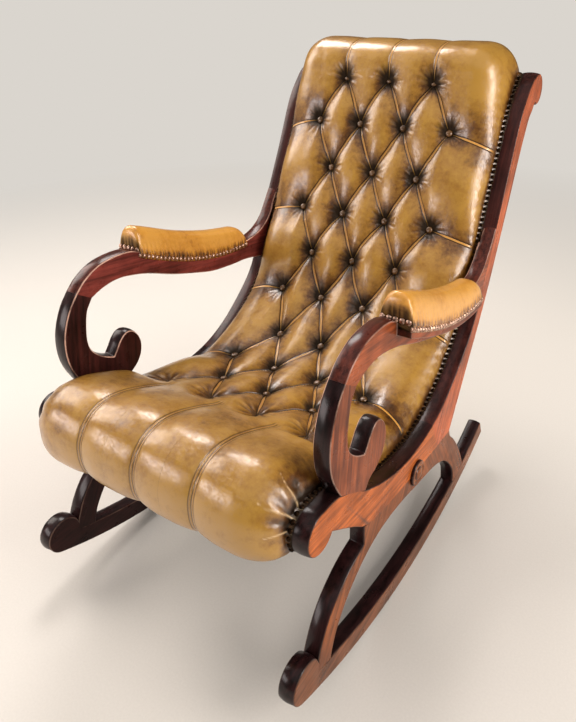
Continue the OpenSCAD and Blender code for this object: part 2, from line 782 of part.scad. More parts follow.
// Covered buttons lie in the tufts, each on the leather that rises round its pit.
// The skin's points near a button are a quarter of a button gap and a quarter of a row apart.
button_shares = [[0.9, 0], [1, 0.25], [0.9, 0.62], [0.5, 1]];
function skin_point(x, i) =
  let (
    b = i < 0 ? crest_base(-1 - i) : row_base(i / row_steps),
    c = i < 0 ? crest_point(crest_shares[-1 - i]) : row_crown(i / row_steps),
    dip = i < 0 ? crest_dip(x, -1 - i) : tuft(x, i / row_steps))
  b + unit(c - b) * skin_height(x, norm(c - b), dip);
skin_ring = [[0, 1], [1, 0], [1, -1], [0, -1], [-1, 0], [-1, 1], [0, 1]];
// Highest place of the plane through a and b on a circle of radius r, between a and b
function arc_top(a, b, r) =
  let (
    det = a.x * b.y - a.y * b.x,
    g = [(a.z * b.y - a.y * b.z) / det, (a.x * b.z - a.z * b.x) / det],
    within = (a.x * g.y - a.y * g.x) * det > 0 && (g.x * b.y - g.y * b.x) * det > 0)
  within ? r * norm(g) : r * max(a.z / norm([a.x, a.y]), b.z / norm([b.x, b.y]));
function button_height(x, t) =
  let (
    m = mark_at(t), d = heading(m), n = outward(m), i = t * row_steps,
    pit = skin_point(x, i),
    ring = [for (r = skin_ring)
      let (p = skin_point(x + r[1] * button_gap / 4, i + r[0]) - pit)
      [r[1] * button_gap / 4, p * d, p * n]])
  (pit - spot(m, 0)) * n + rest_gap
    + max([for (k = [0:len(ring) - 2]) arc_top(ring[k], ring[k + 1], button_shares[0].x * button_d / 2)]);

module buttons() {
  color("#7d5a22") for (t = [0:last_row - 1]) {
    count = t % 2 == 0 ? 3 : 4;
    for (i = [0:count - 1]) {
      x = (i - (count - 1) / 2) * button_gap;
      on_line(mark_at(t)) translate([x, 0, -button_height(x, t)])
        rotate([180, 0, 0]) domed(button_shares, button_d, button_h);
    }
  }
}

// Leather over the back of the frame, tacked to the backs of the crest and lumbar rails
outside_back_shares = [
  [0.386, 0.889], [0.345, 0.795], [0.303, 0.706], [0.264, 0.618], [0.234, 0.552], [0.210, 0.500]];

module outside_back() {
  crest_foot = [for (s = [-0.48, 0.34]) crest_point([s, -(crest_depth + rail_t + rest_gap) / crest_rail_h])];
  lumbar_face = [for (s = [-0.5, 0.4])
    along(front_keys, lumbar_mark) + heading(lumbar_mark) * s * lumbar_rail_h
      - outward(lumbar_mark) * (rail_depth + rail_t + rest_gap)];
  line = concat([crest_foot[0], crest_foot[1]], smooth(places(outside_back_shares), 2),
    [lumbar_face[0], lumbar_face[1]]);
  color("#6b4d20") board(-inner_x + rest_gap, inner_w - 2 * rest_gap)
    polygon(concat(line, [for (i = [len(line) - 1:-1:0]) line[i] + leather_t * side_normal(line, i)]));
}

// Normal of an open line at point i, on the line's left
function side_normal(line, i) =
  let (a = line[max(0, i - 1)], b = line[min(len(line) - 1, i + 1)], d = unit(b - a))
  [-d.y, d.x];

// Dark cloth under the seat, from the front rail along the battens to the rear rail
cover_from_mark = 13.7;
cover_to_mark = 10.6;
cover_steps = 8;

module dust_cover() {
  front = rail_scroll + [0, -front_rail_h / 2 - rest_gap];
  rear = place(rear_rail_share) + [0, -rear_rail_h / 2 - rest_gap];
  depth = rail_depth + batten_t + 3 * rest_gap;
  line = concat(
    [front - [front_rail_w / 2, 0], front + [front_rail_w / 2, 0]],
    [for (i = [0:cover_steps])
      spot(cover_from_mark + (cover_to_mark - cover_from_mark) * i / cover_steps, -depth)],
    [rear - [rear_rail_w / 2, 0], rear + [rear_rail_w / 2, 0]]);
  color("#2a2622") board(-inner_x + rest_gap, inner_w - 2 * rest_gap)
    polygon(concat(line, [for (p = backwards(line)) p - [0, hessian_t]]));
}

// Arm pads: loops across the arm, each as wide as the arm with its shelf
pad_w_share = 0.98;
pad_loop_shares = [
  [-0.86, 0], [-0.98, 0.16], [-1, 0.4], [-0.94, 0.66], [-0.74, 0.87], [-0.4, 0.98], [0, 1],
  [0.4, 0.98], [0.74, 0.87], [0.94, 0.66], [1, 0.4], [0.98, 0.16], [0.86, 0]];
pad_height_shares = [
  0.34, 0.64, 0.78, 0.86, 0.91, 0.95, 0.98, 0.99, 1, 1, 1, 0.99, 0.97, 0.95, 0.92, 0.87, 0.8, 0.7,
  0.56, 0.3];
pad_width_shares = [
  0.84, 0.93, 0.97, 0.99, 1, 1, 1, 1, 1, 1, 1, 1, 1, 1, 1, 1, 0.99, 0.97, 0.93, 0.84];
pad_end_share = 0.015;

module arm_pad(s) {
  mid_x = outer_x + (shelf_out - limb_t) / 2;
  half = pad_w_share * (limb_t + shelf_out) / 2;
  n = len(pad_height_shares) - 1;
  color("#b98638") sided(s) loft([for (i = [0:n])
    let (
      e = i / n,
      u = pad_first_mark + (pad_last_mark - pad_first_mark) * (pad_end_share + (1 - 2 * pad_end_share) * e),
      at = along(places(arm_top_shares), u) + [0, rest_gap],
      h = pad_height_shares[i],
      w = half * pad_width_shares[i])
    [for (p = pad_loop_shares) [mid_x + p.x * w, at.x, at.y + p.y * h * arm_pad_h]]]);
}

// Nail heads in rows
nail_shares = [[1, 0], [0.84, 0.5], [0.36, 1]];
module nail() {
  domed(nail_shares, nail_d, nail_h);
}

// Points one nail gap apart along a line of points
function lengths(line) = [for (i = 0, s = 0; i < len(line);
  i = i + 1, s = i < len(line) ? s + norm(line[i] - line[i - 1]) : s) s];
function spaced(line, gap) =
  let (s = lengths(line), total = s[len(s) - 1])
  [for (k = [0:floor(total / gap)])
    let (
      d = min(total, k * gap),
      i = min(len(line) - 2, max([for (j = [0:len(s) - 2]) s[j] <= d ? j : 0])),
      f = (d - s[i]) / (s[i + 1] - s[i]))
    [line[i] + f * (line[i + 1] - line[i]), unit(line[i + 1] - line[i])]];

nail_base = leather_t + roll_gap + rest_gap;
nail_from_mark = 2.45;
nail_to_mark = 16;
nail_line_steps = 110;
scroll_nails_angle = 215;

module side_nails(s) {
  x = edge_x - margin / 2;
  line = concat(
    [for (i = [0:nail_line_steps])
      spot(nail_from_mark + (nail_to_mark - nail_from_mark) * i / nail_line_steps, 0)],
    [for (a = [92:8:scroll_nails_angle]) polar(rail_scroll_r, a)]);
  color("#7a5a2c") sided(s) for (p = spaced(line, nail_gap))
    translate([x, p[0].x, p[0].y]) rotate([atan2(p[1].y, p[1].x), 0, 0])
      translate([0, 0, -nail_base]) rotate([180, 0, 0]) nail();
}

pad_nail_drop = 7;
module arm_pad_nails(s) {
  line = [for (p = part_of(arm_top_line, pad_first_mark * spline_steps, pad_last_mark * spline_steps))
    p - [0, pad_nail_drop]];
  color("#7a5a2c") sided(s) for (p = spaced(line, nail_gap)) {
    translate([outer_x + shelf_out, p[0].x, p[0].y]) rotate([0, 90, 0]) nail();
    translate([outer_x - limb_t, p[0].x, p[0].y]) rotate([0, -90, 0]) nail();
  }
}

stile(1);  // left_stile
seat_rail(1);  // left_seat_rail
front_leg(1);  // left_front_leg
rear_leg(1);  // left_rear_leg
rocker(1);  // left_rocker
arm_rest(1);  // left_arm_rest
arm_scroll(1);  // left_arm_scroll
boss(1);  // left_boss
frame_dowels(1);  // left_frame_dowels
tacking_battens(1);  // left_tacking_battens
arm_pad(1);  // left_arm_pad
arm_pad_nails(1);  // left_arm_pad_nails
side_nails(1);  // left_side_nails
stile(-1);  // right_stile
seat_rail(-1);  // right_seat_rail
front_leg(-1);  // right_front_leg
rear_leg(-1);  // right_rear_leg
rocker(-1);  // right_rocker
arm_rest(-1);  // right_arm_rest
arm_scroll(-1);  // right_arm_scroll
boss(-1);  // right_boss
frame_dowels(-1);  // right_frame_dowels
tacking_battens(-1);  // right_tacking_battens
arm_pad(-1);  // right_arm_pad
arm_pad_nails(-1);  // right_arm_pad_nails
side_nails(-1);  // right_side_nails
crest_rail();
lumbar_rail();
front_seat_rail();
rear_seat_rail();
corner_blocks();
stretcher();
stretcher_bolts();
stretcher_nuts();
back_webbing();
seat_webbing();
hessian();
tufted_back();
tufted_seat();
front_roll();
buttons();
outside_back();
dust_cover();
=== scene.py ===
"""Dresses a scroll-arm rocking chair: polished side frames, buttoned leather, arm pads and close nailing."""

import json
import logging
import math
from dataclasses import dataclass, field
from enum import Enum

import bmesh
import bpy
import numpy as np
from mathutils import Matrix, Vector
from mathutils.bvhtree import BVHTree

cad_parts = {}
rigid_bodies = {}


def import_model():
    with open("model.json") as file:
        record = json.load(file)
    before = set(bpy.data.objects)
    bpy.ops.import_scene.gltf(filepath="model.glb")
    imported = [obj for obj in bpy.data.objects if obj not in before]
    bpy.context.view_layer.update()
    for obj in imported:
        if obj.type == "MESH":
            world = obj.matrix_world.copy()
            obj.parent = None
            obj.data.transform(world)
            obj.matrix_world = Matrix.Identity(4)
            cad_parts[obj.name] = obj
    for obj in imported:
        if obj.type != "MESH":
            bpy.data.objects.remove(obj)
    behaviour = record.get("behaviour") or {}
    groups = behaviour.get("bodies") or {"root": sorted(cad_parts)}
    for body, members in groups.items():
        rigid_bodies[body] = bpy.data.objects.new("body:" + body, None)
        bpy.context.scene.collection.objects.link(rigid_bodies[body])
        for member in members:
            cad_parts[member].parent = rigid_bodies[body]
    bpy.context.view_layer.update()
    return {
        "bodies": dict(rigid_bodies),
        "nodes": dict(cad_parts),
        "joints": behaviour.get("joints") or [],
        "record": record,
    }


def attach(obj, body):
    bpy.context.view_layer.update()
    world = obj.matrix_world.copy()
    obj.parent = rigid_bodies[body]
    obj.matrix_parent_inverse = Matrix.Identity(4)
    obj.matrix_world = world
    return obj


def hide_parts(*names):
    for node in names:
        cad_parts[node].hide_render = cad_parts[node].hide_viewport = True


log = logging.getLogger("rocking_chair")
MM = 0.001
FRAME: dict = {}
Tree = bpy.types.NodeTree
Socket = bpy.types.NodeSocket
Material = bpy.types.Material
Object = bpy.types.Object


# Colours and shader nodes


def linear(colour: str) -> tuple[float, float, float, float]:
    """Turns an sRGB hex colour to linear light.

    Args:
        colour: Six hex digits after a hash sign.

    Returns:
        Red, green, blue and alpha for a shader socket.
    """
    parts = [int(colour[i : i + 2], 16) / 255 for i in (1, 3, 5)]
    r, g, b = (c / 12.92 if c <= 0.04045 else ((c + 0.055) / 1.055) ** 2.4 for c in parts)
    return (r, g, b, 1.0)


def add(
    tree: Tree,
    kind: str,
    settings: dict | None = None,
    values: dict | None = None,
    links: dict | None = None,
) -> bpy.types.Node:
    """Adds one shader node with its settings, socket values and incoming links.

    Args:
        tree: The material's node tree.
        kind: Blender's type name of the node.
        settings: Attributes of the node, such as its operation.
        values: Socket name or index to a plain value.
        links: Socket name or index to the output socket that feeds it.

    Returns:
        The new node.
    """
    node = tree.nodes.new(kind)
    for name, value in (settings or {}).items():
        setattr(node, name, value)
    for name, value in (values or {}).items():
        node.inputs[name].default_value = value
    for name, source in (links or {}).items():
        tree.links.new(source, node.inputs[name])
    return node


def maths(tree: Tree, operation: str, *terms: float | Socket) -> Socket:
    """Returns the output of one Math node whose terms are numbers or sockets.

    Args:
        tree: The material's node tree.
        operation: The node's operation.
        terms: Up to three numbers or output sockets.

    Returns:
        The node's output socket.
    """
    values = {i: t for i, t in enumerate(terms) if isinstance(t, (int, float))}
    links = {i: t for i, t in enumerate(terms) if not isinstance(t, (int, float))}
    return add(tree, "ShaderNodeMath", {"operation": operation}, values, links).outputs[0]


def ramp(tree: Tree, source: Socket, stops: list[tuple[float, float | str]]) -> Socket:
    """Maps a value through a colour ramp.

    Args:
        tree: The material's node tree.
        source: The socket that drives the ramp.
        stops: Pairs of place and grey level, or place and hex colour.

    Returns:
        The ramp's colour output.
    """
    node = add(tree, "ShaderNodeValToRGB", links={"Fac": source})
    elements = node.color_ramp.elements
    while len(elements) < len(stops):
        elements.new(0.5)
    for element, (place, level) in zip(elements, stops):
        element.position = place
        element.color = linear(level) if isinstance(level, str) else (level, level, level, 1)
    return node.outputs["Color"]


def blend(tree: Tree, mode: str, share: float | Socket, first: str | Socket, second: str | Socket) -> Socket:
    """Mixes two colours.

    Args:
        tree: The material's node tree.
        mode: The blend type.
        share: How much of the second colour is used.
        first: Hex colour or socket.
        second: Hex colour or socket.

    Returns:
        The mixed colour.
    """
    values: dict = {}
    links: dict = {}
    for index, term in ((0, share), (6, first), (7, second)):
        if isinstance(term, str):
            values[index] = linear(term)
        elif isinstance(term, (int, float)):
            values[index] = term
        else:
            links[index] = term
    node = add(tree, "ShaderNodeMix", {"data_type": "RGBA", "blend_type": mode}, values, links)
    return node.outputs[2]


def surface(name: str, principled: dict) -> tuple[Material, Tree, bpy.types.Node]:
    """Starts a material with a Principled shader.

    Args:
        name: The material's name.
        principled: Uniform values for the shader's own sockets.

    Returns:
        The material, its node tree and its shader node.
    """
    material = bpy.data.materials.new(name)
    material.use_nodes = True
    tree = material.node_tree
    tree.nodes.clear()
    shader = add(tree, "ShaderNodeBsdfPrincipled", values=principled)
    add(tree, "ShaderNodeOutputMaterial", links={"Surface": shader.outputs[0]})
    return material, tree, shader


def place(tree: Tree, scale: tuple[float, float, float] = (1, 1, 1), turn: float = 0.0) -> Socket:
    """Returns object coordinates in metres, turned about X and scaled.

    Args:
        tree: The material's node tree.
        scale: Scale along each axis after the turn.
        turn: Angle about the chair's X axis in radians.

    Returns:
        The mapped vector.
    """
    source = add(tree, "ShaderNodeTexCoord").outputs["Object"]
    turned = add(tree, "ShaderNodeMapping", values={"Rotation": (turn, 0, 0)}, links={"Vector": source})
    links = {"Vector": turned.outputs[0]}
    return add(tree, "ShaderNodeMapping", values={"Scale": scale}, links=links).outputs[0]


def noise(tree: Tree, vector: Socket, size_mm: float, detail: float = 3, rough: float = 0.5) -> Socket:
    """Returns noise over coordinates in metres, whose patches have about the given size in millimetres."""
    values = {"Scale": 1000 / size_mm, "Detail": detail, "Roughness": rough}
    return add(tree, "ShaderNodeTexNoise", values=values, links={"Vector": vector}).outputs[0]


def bump(tree: Tree, shader: bpy.types.Node, layers: list[tuple[Socket, float]]) -> None:
    """Adds height layers one on the other and feeds the shader's normal.

    Args:
        tree: The material's node tree.
        shader: The Principled shader.
        layers: Pairs of height socket and depth in millimetres.
    """
    normal = None
    for height, depth in layers:
        links = {"Height": height}
        if normal is not None:
            links["Normal"] = normal
        node = add(tree, "ShaderNodeBump", values={"Strength": 1.0, "Distance": depth * MM}, links=links)
        normal = node.outputs[0]
    tree.links.new(normal, shader.inputs["Normal"])
    tree.links.new(normal, shader.inputs["Coat Normal"])


# Finishes


class Member(Enum):
    """Which way the grain runs in a sawn piece: degrees above the horizontal in the side view."""

    STILE = 63.0
    RAIL = -6.0
    FRONT_LEG = 60.0
    REAR_LEG = -62.0
    ROCKER = 2.0
    ARM = -8.0
    SCROLL = 82.0
    ACROSS = 0.0


@dataclass(frozen=True)
class FrenchPolishedMahogany:
    """Mahogany, stained and French polished: warm worn outer faces, near-black edges and darker inner faces
    that are painted shade, a soft deep gloss.
    """

    name: str
    member: Member
    outer: str = "#7A4430"
    outer_dark: str = "#52291C"
    # The inner and narrow colours are darker copies of the outer ones: painted shade.
    inner: str = "#3A1D1A"
    inner_dark: str = "#241110"
    narrow: str = "#301818"
    narrow_dark: str = "#170B0B"
    # The pale arris colour is partly worn polish and partly a painted highlight.
    worn: str = "#DFB09A"
    wear: float = 0.16

    def build(self) -> Material:
        """Makes the finish.

        Returns:
            The material.
        """
        material, tree, shader = surface(self.name, {"IOR": 1.22, "Coat Roughness": 0.19, "Coat IOR": 1.5})
        turn = -math.radians(self.member.value)
        # Mahogany pores are dark flecks about 0.4 mm wide and 8 mm long, drawn 1.3 mm wide to show.
        pores = noise(tree, place(tree, (1, 0.06, 1), turn), 1.3, 2, 0.6)
        # Growth bands run along the board, about 8 mm apart.
        bands = noise(tree, place(tree, (1, 0.05, 1), turn), 8, 4, 0.62)
        cloud = noise(tree, place(tree), 75, 4, 0.55)
        # Broad faces, narrow edges and the two sides of a broad face each have their own colour.
        sides, outward = self._facing(tree)
        band = ramp(tree, bands, [(0.36, 0.0), (0.64, 1.0)])
        outer = blend(tree, "MIX", band, self.outer_dark, self.outer)
        inner = blend(tree, "MIX", band, self.inner_dark, self.inner)
        narrow = blend(tree, "MIX", band, self.narrow_dark, self.narrow)
        # The narrow edges and the inner sides are darker than the outer sides: painted shade.
        broad = blend(tree, "MIX", outward, inner, outer)
        body = blend(tree, "MIX", ramp(tree, sides, [(0.72, 0.0), (0.95, 1.0)]), narrow, broad)
        body = blend(tree, "MULTIPLY", 0.35, body, ramp(tree, pores, [(0.38, 0.45), (0.52, 1.0)]))
        body = blend(tree, "MULTIPLY", 0.8, body, ramp(tree, cloud, [(0.35, 0.5), (0.6, 1.0)]))
        # Arrises get a pale line, most on the inner side: partly polish worn through, partly a painted
        # highlight on the eased edge.
        arris = ramp(tree, sides, [(0.4, 0.0), (0.55, 1.0), (0.86, 1.0), (0.96, 0.0)])
        arris = maths(tree, "MULTIPLY", arris, maths(tree, "MULTIPLY_ADD", outward, -0.62, 1.0))
        broken = ramp(tree, noise(tree, place(tree), 26, 4), [(0.32, 0.2), (0.56, 1.0)])
        rubbed = maths(tree, "MULTIPLY", maths(tree, "MULTIPLY", arris, self.wear), broken)
        tree.links.new(blend(tree, "MIX", rubbed, body, self.worn), shader.inputs["Base Color"])
        gloss = ramp(tree, noise(tree, place(tree), 34, 4), [(0.3, 0.24), (0.7, 0.4)])
        tree.links.new(gloss, shader.inputs["Roughness"])
        # The polish is thick on the narrow edges and rubbed thin on the broad faces.
        coat = ramp(tree, sides, [(0.6, 0.32), (0.95, 0.03)])
        tree.links.new(coat, shader.inputs["Coat Weight"])
        bump(tree, shader, [(bands, 0.03), (pores, 0.02), (noise(tree, place(tree), 30, 2), 0.06)])
        return material

    @staticmethod
    def _facing(tree: Tree) -> tuple[Socket, Socket]:
        """Tells which way the surface faces.

        Args:
            tree: The material's node tree.

        Returns:
            How far it faces sideways, and 1 where it faces away from the chair's middle.
        """
        source = add(tree, "ShaderNodeTexCoord")
        normal = add(tree, "ShaderNodeSeparateXYZ", links={0: source.outputs["Normal"]}).outputs["X"]
        across = add(tree, "ShaderNodeSeparateXYZ", links={0: source.outputs["Object"]}).outputs["X"]
        outward = maths(tree, "GREATER_THAN", maths(tree, "MULTIPLY", normal, across), 0.0)
        return maths(tree, "ABSOLUTE", normal), outward


@dataclass(frozen=True)
class SawnBeech:
    """Beech rails inside the covers: pale, sawn, with short flecks and no polish."""

    name: str = "sawn beech"
    light: str = "#C9A173"
    dark: str = "#9F7647"

    def build(self) -> Material:
        """Makes the finish.

        Returns:
            The material.
        """
        material, tree, shader = surface(self.name, {"IOR": 1.5, "Roughness": 0.7})
        grain = noise(tree, place(tree, (0.08, 1, 1)), 5, 4, 0.6)
        # Flecks of beech are about 2 mm long.
        fleck = noise(tree, place(tree, (0.4, 1, 1)), 1.5, 2)
        body = blend(tree, "MIX", ramp(tree, grain, [(0.3, 0.0), (0.7, 1.0)]), self.dark, self.light)
        body = blend(tree, "MULTIPLY", 0.5, body, ramp(tree, fleck, [(0.35, 0.6), (0.5, 1.0)]))
        tree.links.new(body, shader.inputs["Base Color"])
        bump(tree, shader, [(grain, 0.2)])
        return material


@dataclass(frozen=True)
class AntiquedBrass:
    """Pressed brass nail heads, darkened and rubbed bright on their domes."""

    name: str = "antiqued brass, side nails"
    bright: str = "#3A291C"
    dark: str = "#120C08"

    def build(self) -> Material:
        """Makes the finish.

        Returns:
            The material.
        """
        material, tree, shader = surface(self.name, {"Metallic": 1.0})
        patina = noise(tree, place(tree), 3.5, 3)
        body = blend(tree, "MIX", ramp(tree, patina, [(0.35, 0.0), (0.62, 1.0)]), self.dark, self.bright)
        tree.links.new(body, shader.inputs["Base Color"])
        tree.links.new(ramp(tree, patina, [(0.3, 0.5), (0.7, 0.34)]), shader.inputs["Roughness"])
        bump(tree, shader, [(noise(tree, place(tree), 1.2, 2), 0.08)])
        return material


@dataclass(frozen=True)
class BrownedSteel:
    """Turned steel bolts with a brown finish and fine tool marks."""

    name: str = "browned steel"
    light: str = "#7A7064"
    dark: str = "#433A32"

    def build(self) -> Material:
        """Makes the finish.

        Returns:
            The material.
        """
        material, tree, shader = surface(self.name, {"Metallic": 1.0})
        rust = noise(tree, place(tree), 6, 4)
        tree.links.new(blend(tree, "MIX", rust, self.dark, self.light), shader.inputs["Base Color"])
        tree.links.new(ramp(tree, rust, [(0.3, 0.5), (0.7, 0.32)]), shader.inputs["Roughness"])
        bump(tree, shader, [(noise(tree, place(tree, (6, 1, 1)), 2, 2), 0.05)])
        return material


@dataclass(frozen=True)
class JuteWeave:
    """Plain-woven jute: webbing and hessian, hairy and matt, with the threads showing."""

    name: str
    thread_mm: float
    light: str = "#C2A673"
    dark: str = "#7A6238"

    def build(self) -> Material:
        """Makes the finish.

        Returns:
            The material.
        """
        material, tree, shader = surface(self.name, {"Roughness": 0.9, "IOR": 1.45})
        scale = math.pi / (self.thread_mm * MM)
        parts = add(tree, "ShaderNodeSeparateXYZ", links={0: place(tree, (scale, scale, scale))})
        warp = maths(tree, "SINE", parts.outputs["X"])
        weft = maths(tree, "SINE", maths(tree, "ADD", parts.outputs["Y"], parts.outputs["Z"]))
        weave = maths(tree, "MULTIPLY_ADD", maths(tree, "MULTIPLY", warp, weft), 0.5, 0.5)
        body = blend(tree, "MIX", weave, self.dark, self.light)
        cloud = ramp(tree, noise(tree, place(tree), 12, 4), [(0.3, 0.6), (0.7, 1.0)])
        body = blend(tree, "MULTIPLY", 0.5, body, cloud)
        tree.links.new(body, shader.inputs["Base Color"])
        bump(tree, shader, [(weave, 0.5)])
        return material


@dataclass(frozen=True)
class BlackCalico:
    """Thin black cotton under the seat: fine plain weave, slightly dusty."""

    name: str = "black calico"
    light: str = "#3A3632"
    dark: str = "#191715"

    def build(self) -> Material:
        """Makes the finish.

        Returns:
            The material.
        """
        material, tree, shader = surface(self.name, {"Roughness": 0.95, "Sheen Weight": 0.2})
        # Calico threads are 0.4 mm apart. They are drawn 1.2 mm apart so that they show.
        scale = math.pi / (1.2 * MM)
        parts = add(tree, "ShaderNodeSeparateXYZ", links={0: place(tree, (scale, scale, scale))})
        warp, weft = (maths(tree, "SINE", parts.outputs[axis]) for axis in "XY")
        weave = maths(tree, "MULTIPLY", warp, weft)
        cloud = noise(tree, place(tree), 40, 4)
        tree.links.new(blend(tree, "MIX", cloud, self.dark, self.light), shader.inputs["Base Color"])
        bump(tree, shader, [(weave, 0.15), (cloud, 1.0)])
        return material


@dataclass(frozen=True)
class AntiquedHide:
    """Aniline-dyed cowhide, hand antiqued: golden where it is rubbed, painted near black in the tufts as
    shade, a waxed sheen.

    Meshes that wear it carry the point attributes hollow (how dark it is, 0 to 1: by depth below the crown
    and more, partly antiquing and dirt, partly painted shade) and tie (1 at a tie point, where a dark pit of
    shade
    is painted). The buttoned one also carries crack, near, fold, roll, pitch_a and pitch_b, and two UV maps:
    pleats with the button grid's diagonals, and seams with the place beside and along the roll's seams.
    """

    name: str
    rubbed: str = "#A98638"
    body: str = "#94702A"
    shade: str = "#5A3912"
    pit: str = "#100602"
    bare: str = "#D8C39A"
    # The painted highlight on each pleat's fold.
    fold_highlight: str = "#D2A04E"
    pleats: bool = False
    seams: bool = False
    roughness: float = 0.42

    def build(self) -> Material:
        """Makes the finish.

        Returns:
            The material.
        """
        tints = {"Specular Tint": linear("#F5D6B0"), "Coat Tint": linear("#FFF1E8")}
        wax = {"Coat Roughness": 0.19, "Coat IOR": 1.66}
        material, tree, shader = surface(self.name, {"IOR": 1.5, **wax, **tints})
        flat = place(tree)
        hollow = self._attribute(tree, "hollow")
        tie = self._attribute(tree, "tie")
        # Wax and dye have settled in patches about 90 mm, 22 mm and 7 mm across.
        patches = noise(tree, flat, 90, 5, 0.6)
        mottle = noise(tree, flat, 22, 5, 0.65)
        fine = noise(tree, flat, 7, 3, 0.6)
        depth = hollow
        for layer, strength, middle in ((patches, 1.3, -0.56), (mottle, 0.95, -0.46), (fine, 0.45, -0.23)):
            depth = maths(tree, "ADD", depth, maths(tree, "MULTIPLY_ADD", layer, strength, middle))
        # From the crowns into the tufts the colour darkens, partly antiquing and partly painted shade; the
        # pits at the ties are painted near black, as shade.
        tones = [(0.0, self.rubbed), (0.3, self.body), (0.66, self.shade), (1.0, self.pit)]
        colour = ramp(tree, depth, tones)
        colour = blend(tree, "MIX", ramp(tree, tie, [(0.10, 0.0), (0.75, 1.0)]), colour, self.pit)
        flaked = ramp(tree, fine, [(0.3, 0.3), (0.5, 1.0)])
        cracked = maths(tree, "MULTIPLY", self._attribute(tree, "crack"), flaked)
        colour = blend(tree, "MIX", cracked, colour, self.bare)
        # Cowhide grain has pores about 0.9 mm apart, drawn 1.5 mm apart, and fine creases.
        spacing = {"Scale": 1 / (1.5 * MM)}
        cells = add(tree, "ShaderNodeTexVoronoi", {"feature": "DISTANCE_TO_EDGE"}, spacing, {"Vector": flat})
        crease = maths(tree, "ABSOLUTE", maths(tree, "SUBTRACT", noise(tree, flat, 9, 6, 0.7), 0.5))
        lines = ramp(tree, crease, [(0.0, 0.0), (0.03, 1.0)])
        layers = [(cells.outputs["Distance"], 0.05), (lines, 0.06), (noise(tree, flat, 70, 1), 1.0)]
        gloss = maths(tree, "MULTIPLY_ADD", mottle, 0.2, self.roughness - 0.1)
        if self.pleats:
            colour, gloss, layers = self._pleated(tree, colour, gloss, layers)
        if self.seams:
            colour, layers = self._stitched(tree, colour, layers)
        # The wax never reached the bottom of the tufts, so they stay dull, under their painted black shade.
        dull = ramp(tree, tie, [(0.12, 0.0), (0.62, 1.0)])
        gloss = maths(tree, "MAXIMUM", gloss, maths(tree, "MULTIPLY", dull, 0.9))
        tree.links.new(maths(tree, "MULTIPLY_ADD", dull, -0.86, 0.92), shader.inputs["Coat Weight"])
        tree.links.new(colour, shader.inputs["Base Color"])
        tree.links.new(gloss, shader.inputs["Roughness"])
        bump(tree, shader, layers)
        return material

    @staticmethod
    def _attribute(tree: Tree, name: str) -> Socket:
        """Returns a point attribute of the mesh."""
        return add(tree, "ShaderNodeAttribute", {"attribute_name": name}).outputs["Fac"]

    def _pleated(
        self, tree: Tree, colour: Socket, gloss: Socket, layers: list[tuple[Socket, float]]
    ) -> tuple[Socket, Socket, list[tuple[Socket, float]]]:
        """Draws each pleat as a flat fold with a painted highlight, between two dark lines of painted shade
        that close up at the buttons.

        Args:
            tree: The material's node tree.
            colour: The leather's colour so far.
            gloss: Its roughness so far.
            layers: Its height layers so far.

        Returns:
            The colour, roughness and layers with the pleats.
        """
        uv = add(tree, "ShaderNodeUVMap", {"uv_map": "pleats"}).outputs[0]
        parts = add(tree, "ShaderNodeSeparateXYZ", links={0: uv})
        fold = self._attribute(tree, "fold")
        near = self._attribute(tree, "near")
        # A fold is 6.2 mm wide, and 1.6 mm where it runs under a button.
        half = maths(tree, "MULTIPLY_ADD", near, -2.3, 3.1)
        lines, tongues = [], []
        for axis, name in (("X", "pitch_a"), ("Y", "pitch_b")):
            wrapped = maths(tree, "FRACT", maths(tree, "ADD", parts.outputs[axis], 0.5))
            reach = maths(tree, "ABSOLUTE", maths(tree, "SUBTRACT", wrapped, 0.5))
            reach = maths(tree, "MULTIPLY", reach, self._attribute(tree, name))
            off = maths(tree, "ABSOLUTE", maths(tree, "SUBTRACT", reach, half))
            lines.append(ramp(tree, maths(tree, "DIVIDE", off, 4.0), [(0.07, 1.0), (0.34, 0.0)]))
            inside = maths(tree, "MULTIPLY_ADD", maths(tree, "SUBTRACT", half, reach), 0.25, 0.5)
            tongues.append(ramp(tree, inside, [(0.5, 0.0), (0.72, 1.0)]))
        line = maths(tree, "MULTIPLY", maths(tree, "MAXIMUM", lines[0], lines[1]), fold)
        tongue = maths(tree, "MULTIPLY", maths(tree, "MAXIMUM", tongues[0], tongues[1]), fold)
        # The fold's tongue gets a painted highlight and its two edge lines painted shade.
        lit = maths(tree, "MULTIPLY", tongue, maths(tree, "SUBTRACT", 1.0, near))
        colour = blend(tree, "MIX", maths(tree, "MULTIPLY", lit, 0.9), colour, self.fold_highlight)
        colour = blend(tree, "MIX", maths(tree, "MULTIPLY", line, 0.92), colour, self.pit)
        layers = [*layers, (tongue, 1.3), (line, -1.1)]
        return colour, maths(tree, "MULTIPLY_ADD", line, 0.25, gloss), layers

    def _stitched(
        self, tree: Tree, colour: Socket, layers: list[tuple[Socket, float]]
    ) -> tuple[Socket, list[tuple[Socket, float]]]:
        """Draws the front roll's three twin-stitched seams.

        Args:
            tree: The material's node tree.
            colour: The leather's colour so far.
            layers: Its height layers so far.

        Returns:
            The colour and layers with the seams.
        """
        seam = add(tree, "ShaderNodeUVMap", {"uv_map": "seams"}).outputs[0]
        parts = add(tree, "ShaderNodeSeparateXYZ", links={0: seam})
        away = maths(tree, "ABSOLUTE", parts.outputs["X"])
        run = parts.outputs["Y"]
        shown = self._attribute(tree, "roll")
        joint = maths(tree, "MULTIPLY", ramp(tree, away, [(0.05, 1.0), (0.13, 0.0)]), shown)
        # The stitches run 3 mm beside the joint, and the turned-in leather under them ends 5.2 mm beside it.
        bands = []
        for at, inner, outer in ((0.30, 0.06, 0.12), (0.52, 0.04, 0.14)):
            off = maths(tree, "ABSOLUTE", maths(tree, "SUBTRACT", away, at))
            bands.append(ramp(tree, off, [(inner, 1.0), (outer, 0.0)]))
        row, rim_shade = bands
